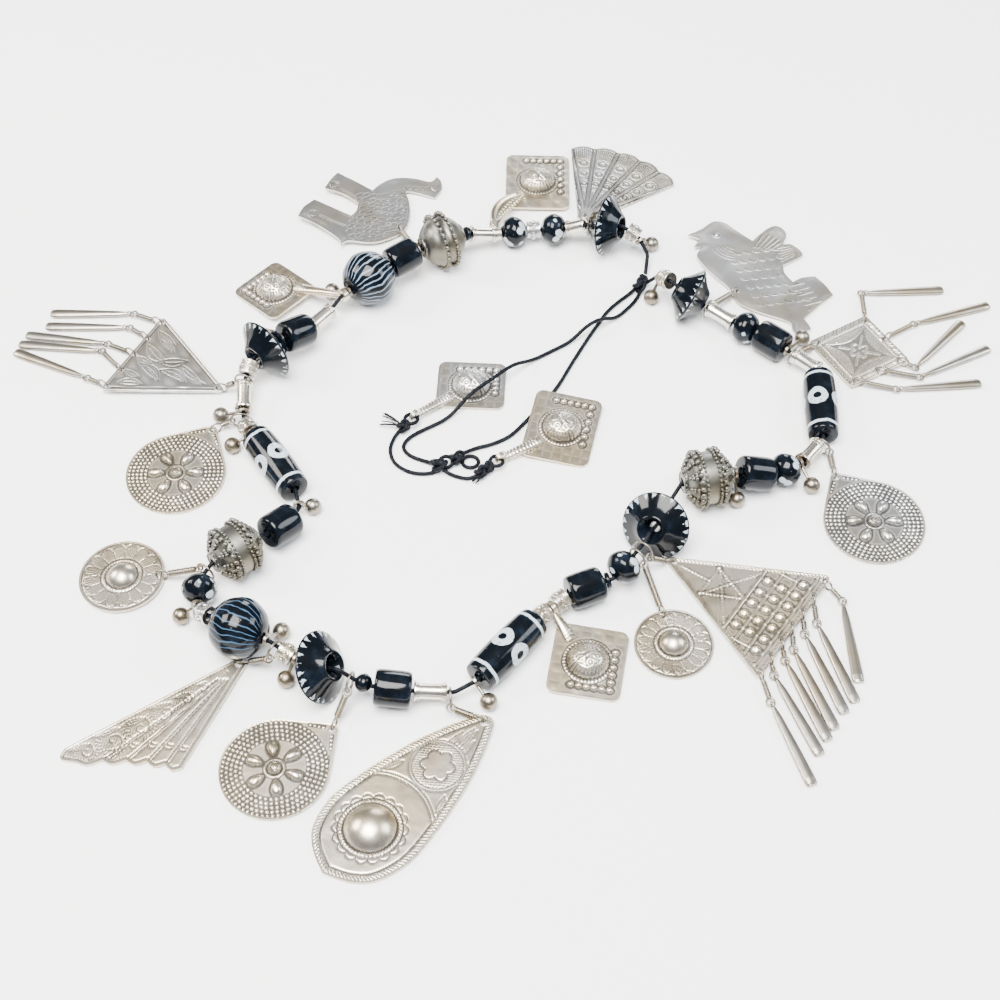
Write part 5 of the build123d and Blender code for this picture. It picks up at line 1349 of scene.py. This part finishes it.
TAIL_UPPER = laid((53.3, 104.2, IN_KNOT), (50.4, 101.4), (47.0, 98.4), (41.6, 92.4), (37.3, 84.6),
                  (32.1, 74.9), (26.5, 63.6), (21.4, 52.5), (15.2, 43.6), (8.9, 35.3), (3.6, 28.6),
                  (-3.4, 24.9), (-9.4, 23.3), (-14.3, 19.7, IN_KNOT))
TAIL_LOWER = laid((55.4, 103.2, IN_KNOT), (53.6, 99.2), (50.0, 94.2), (44.6, 88.3), (38.9, 84.3, CROSSING),
                  (32.9, 80.1, CROSSING), (27.2, 76.3), (19.5, 71.3), (12.4, 66.6), (4.9, 59.8, OVER_AMULET),
                  (-3.2, 52.0, OVER_AMULET), (-11.2, 45.0, OVER_AMULET), (-18.6, 37.9), (-26.6, 33.0),
                  (-33.0, 28.9), (-35.8, 24.2), (-33.6, 20.2), (-28.6, 17.6), (-23.6, 15.4, IN_KNOT))


def cord_curve(name, points):
    """Round cord along a smooth curve with the given control points."""
    curve = bpy.data.curves.new(name, "CURVE")
    curve.dimensions = "3D"
    curve.bevel_depth = CORD_DIAMETER / 2 * MM
    curve.bevel_resolution = 4
    curve.resolution_u = 8
    curve.use_fill_caps = True
    spline = curve.splines.new("NURBS")
    spline.points.add(len(points) - 1)
    for point, place in zip(spline.points, points):
        point.co = (*at(*place), 1)
    spline.order_u = 3
    spline.use_endpoint_u = True
    curve.materials.append(CORD)
    return placed(name, curve)


upper = show(cord_curve("upper_tail_cord", TAIL_UPPER), "waxed_cord", "tail_upper")
lower = show(cord_curve("lower_tail_cord", TAIL_LOWER), "waxed_cord", "tail_lower")

# knots: middle in plan, half length, radius, bearing of the length
CLOSING_LUMPS = [((54.9, 105.0), 3.9, 2.7, 60), ((56.2, 108.6), 2.7, 2.0, 80)]
TIE_LUMPS = [((-21.2, 14.6), 5.0, 2.9, 20), ((-15.6, 17.6), 3.7, 2.5, 30), ((-4.5, 13.2), 2.9, 2.4, 38),
             ((-6.9, 10.9), 2.9, 2.3, 45), ((-35.5, 32.7), 3.1, 2.4, 44)]
# radius of the cord in the knots, and height of its middle where it lies flat
KNOT_CORD, FLAT_HEIGHT = 0.72, 0.85
# height of a knot's middle as a share of its radius, and half height of its loops as a share of their
# room; in millimetres, what the loops are wider than that room and how far the core stays inside
KNOT_MIDDLE, KNOT_FLAT, KNOT_WIDER, KNOT_CORE = 0.92, 0.72, 0.3, 0.9


def tie_cord(pile, points, closed=False, radius=KNOT_CORD, sides=10):
    """Round cord through layout points."""
    pile.tube([at(*point) for point in points], radius * MM, sides, closed)


def overhand(pile, middle, half_length, radius, turn):
    """Cord that loops over itself in a trefoil, flattened into the room of a knot."""
    spin = Matrix.Rotation(math.radians(turn), 4, "Z")
    centre = Vector((*middle, radius * KNOT_MIDDLE + 0.05))
    thick = radius - KNOT_CORD
    line = []
    for t in (WHOLE_TURN * step / 64 for step in range(64)):
        reach = (2 + math.cos(3 * t)) / 3
        line.append(centre + spin @ Vector((reach * math.cos(2 * t) * (half_length - KNOT_CORD),
                                            reach * math.sin(2 * t) * (thick + KNOT_WIDER),
                                            math.sin(3 * t) * thick * KNOT_FLAT)))
    tie_cord(pile, line, True)
    pile.ball(at(*centre), (radius - KNOT_CORE) * MM, 8, 12)


closing = Pile()
for lump in CLOSING_LUMPS:
    overhand(closing, *lump)
show(closing.make("closing_knot_cord", CORD, smooth_below=80), "waxed_cord", "closing_knot")

# short ends that come out of the tie knot, and the loops beside it: middle and radii
END_UPPER = [(-20.6, 12.6, KNOT_HEIGHT), (-16.4, 10.4, FLAT_HEIGHT), (-11.4, 9.2, FLAT_HEIGHT),
             (-6.6, 11.0, KNOT_HEIGHT)]
END_LOWER = [(-21.6, 12.6, KNOT_HEIGHT), (-26.4, 11.4, FLAT_HEIGHT), (-32.6, 12.2, FLAT_HEIGHT),
             (-38.0, 16.2, FLAT_HEIGHT), (-40.0, 22.4, FLAT_HEIGHT), (-38.6, 28.6, FLAT_HEIGHT),
             (-35.5, 32.8, KNOT_HEIGHT)]
EYE_LOOP = 2.35
LOOPS = [((-10.7, 16.9, FLAT_HEIGHT), 2.9, 2.7)]
for eye, bail in (((0.6, 17.0, 2.9), 38), ((-31.0, 37.2, 2.9), 44)):
    LOOPS.append((tuple(Vector(eye) - bearing(bail) * EYE_LOOP), EYE_LOOP, EYE_LOOP))
tie = Pile()
for lump in TIE_LUMPS:
    overhand(tie, *lump)
for end in (END_UPPER, END_LOWER):
    tie_cord(tie, smooth_profile(end, 6))
for (middle_x, middle_y, high), wide, deep in LOOPS:
    tie_cord(tie, [(middle_x + wide * x, middle_y + deep * y, high) for x, y in circle(24)], True)
# frayed ends: start and end, number of threads and their radius, lowest height
FRAYS = [((-36.6, 33.6, 2.6), (-42.4, 39.2, 1.4)), ((-36.9, 32.8, 2.2), (-43.6, 34.6, 1.0)),
         ((-5.6, 10.2, 2.2), (-9.0, 6.6, 1.0))]
FRAY_THREADS, FRAY_THREAD, FRAY_LOW = 5, 0.24, 0.35
for start, end in FRAYS:
    for _ in range(FRAY_THREADS):
        offset = Vector((random.uniform(-0.9, 0.9), random.uniform(-0.9, 0.9), random.uniform(-0.2, 0.5)))
        bend = (Vector(start) + Vector(end)) / 2 + offset * 0.8 + UP * 0.5
        tip = Vector(end) + offset * 1.3
        tip.z = max(tip.z, FRAY_LOW)
        tie_cord(tie, smooth_profile([start, tuple(bend), tuple(tip)], 6), radius=FRAY_THREAD, sides=6)
tie_piece = show(tie.make("tie_knot_cord", CORD, smooth_below=80), "waxed_cord", "tie_knot")

# stage: half width of the paper in metres
FLOOR = 3.0
floor_mesh = bpy.data.meshes.new("floor")
floor_mesh.from_pydata([(-FLOOR, -FLOOR, 0), (FLOOR, -FLOOR, 0), (FLOOR, FLOOR, 0), (-FLOOR, FLOOR, 0)],
                       [], [(0, 1, 2, 3)])
floor = placed("floor", floor_mesh)
paper = Paint("paper")
floor_mesh.materials.append(paper.done(Base_Color=(0.94, 0.94, 0.945), Roughness=0.8, Specular_IOR_Level=0.2,
                                       Normal=paper.bump(paper.noise(700, 3), 0.00005, 0.3)))

# studio round the necklace: colours by height, and how far they reach from low to high
SKY = [(0.55, (0.50, 0.52, 0.60)), (0.72, (0.80, 0.80, 0.84)), (0.88, (1.10, 1.06, 0.96))]
SKY_LOW, SKY_HIGH = (0.42, 0.46, 0.55, 1), (1.3, 1.27, 1.2, 1)
world = bpy.data.worlds.new("studio")
bpy.context.scene.world = world
world.use_nodes = True
tree = world.node_tree
background = tree.nodes["Background"]
ray = given(tree, "TexCoord", "Generated")
blend = tree.nodes.new("ShaderNodeValToRGB")
feed(blend.inputs[0], given(tree, "SeparateXYZ", 2, {0: ray}))
feed(background.inputs[0], Value(blend.outputs[0]))
feed(background.inputs[1], given(tree, "TexNoise", 0, {"Vector": ray, "Scale": 3.2, "Detail": 1.0}))
stops = blend.color_ramp.elements
stops[0].position, stops[0].color = 0.0, SKY_LOW
stops[1].position, stops[1].color = 1.0, SKY_HIGH
for position, colour in SKY:
    stops.new(position).color = (*colour, 1)

# lights: name, place in metres, size in metres, power in watts, colour
LIGHTS = [("top", (-0.15, -0.32, 1.25), 0.80, 78.0, (1.0, 0.985, 0.96)),
          ("left", (-0.95, 0.20, 0.75), 0.45, 18.0, (1.0, 0.95, 0.88)),
          ("right", (0.95, 0.05, 0.70), 0.50, 13.0, (0.86, 0.93, 1.0)),
          ("back", (0.25, 1.20, 0.36), 0.40, 9.0, (0.92, 0.96, 1.0))]
for name, place, size, power, colour in LIGHTS:
    light = bpy.data.lights.new(name, "AREA")
    light.size = size
    light.energy = power
    light.color = colour
    lamp = placed(name, light)
    lamp.location = place
    lamp.rotation_euler = (-Vector(place)).to_track_quat("-Z", "Y").to_euler()
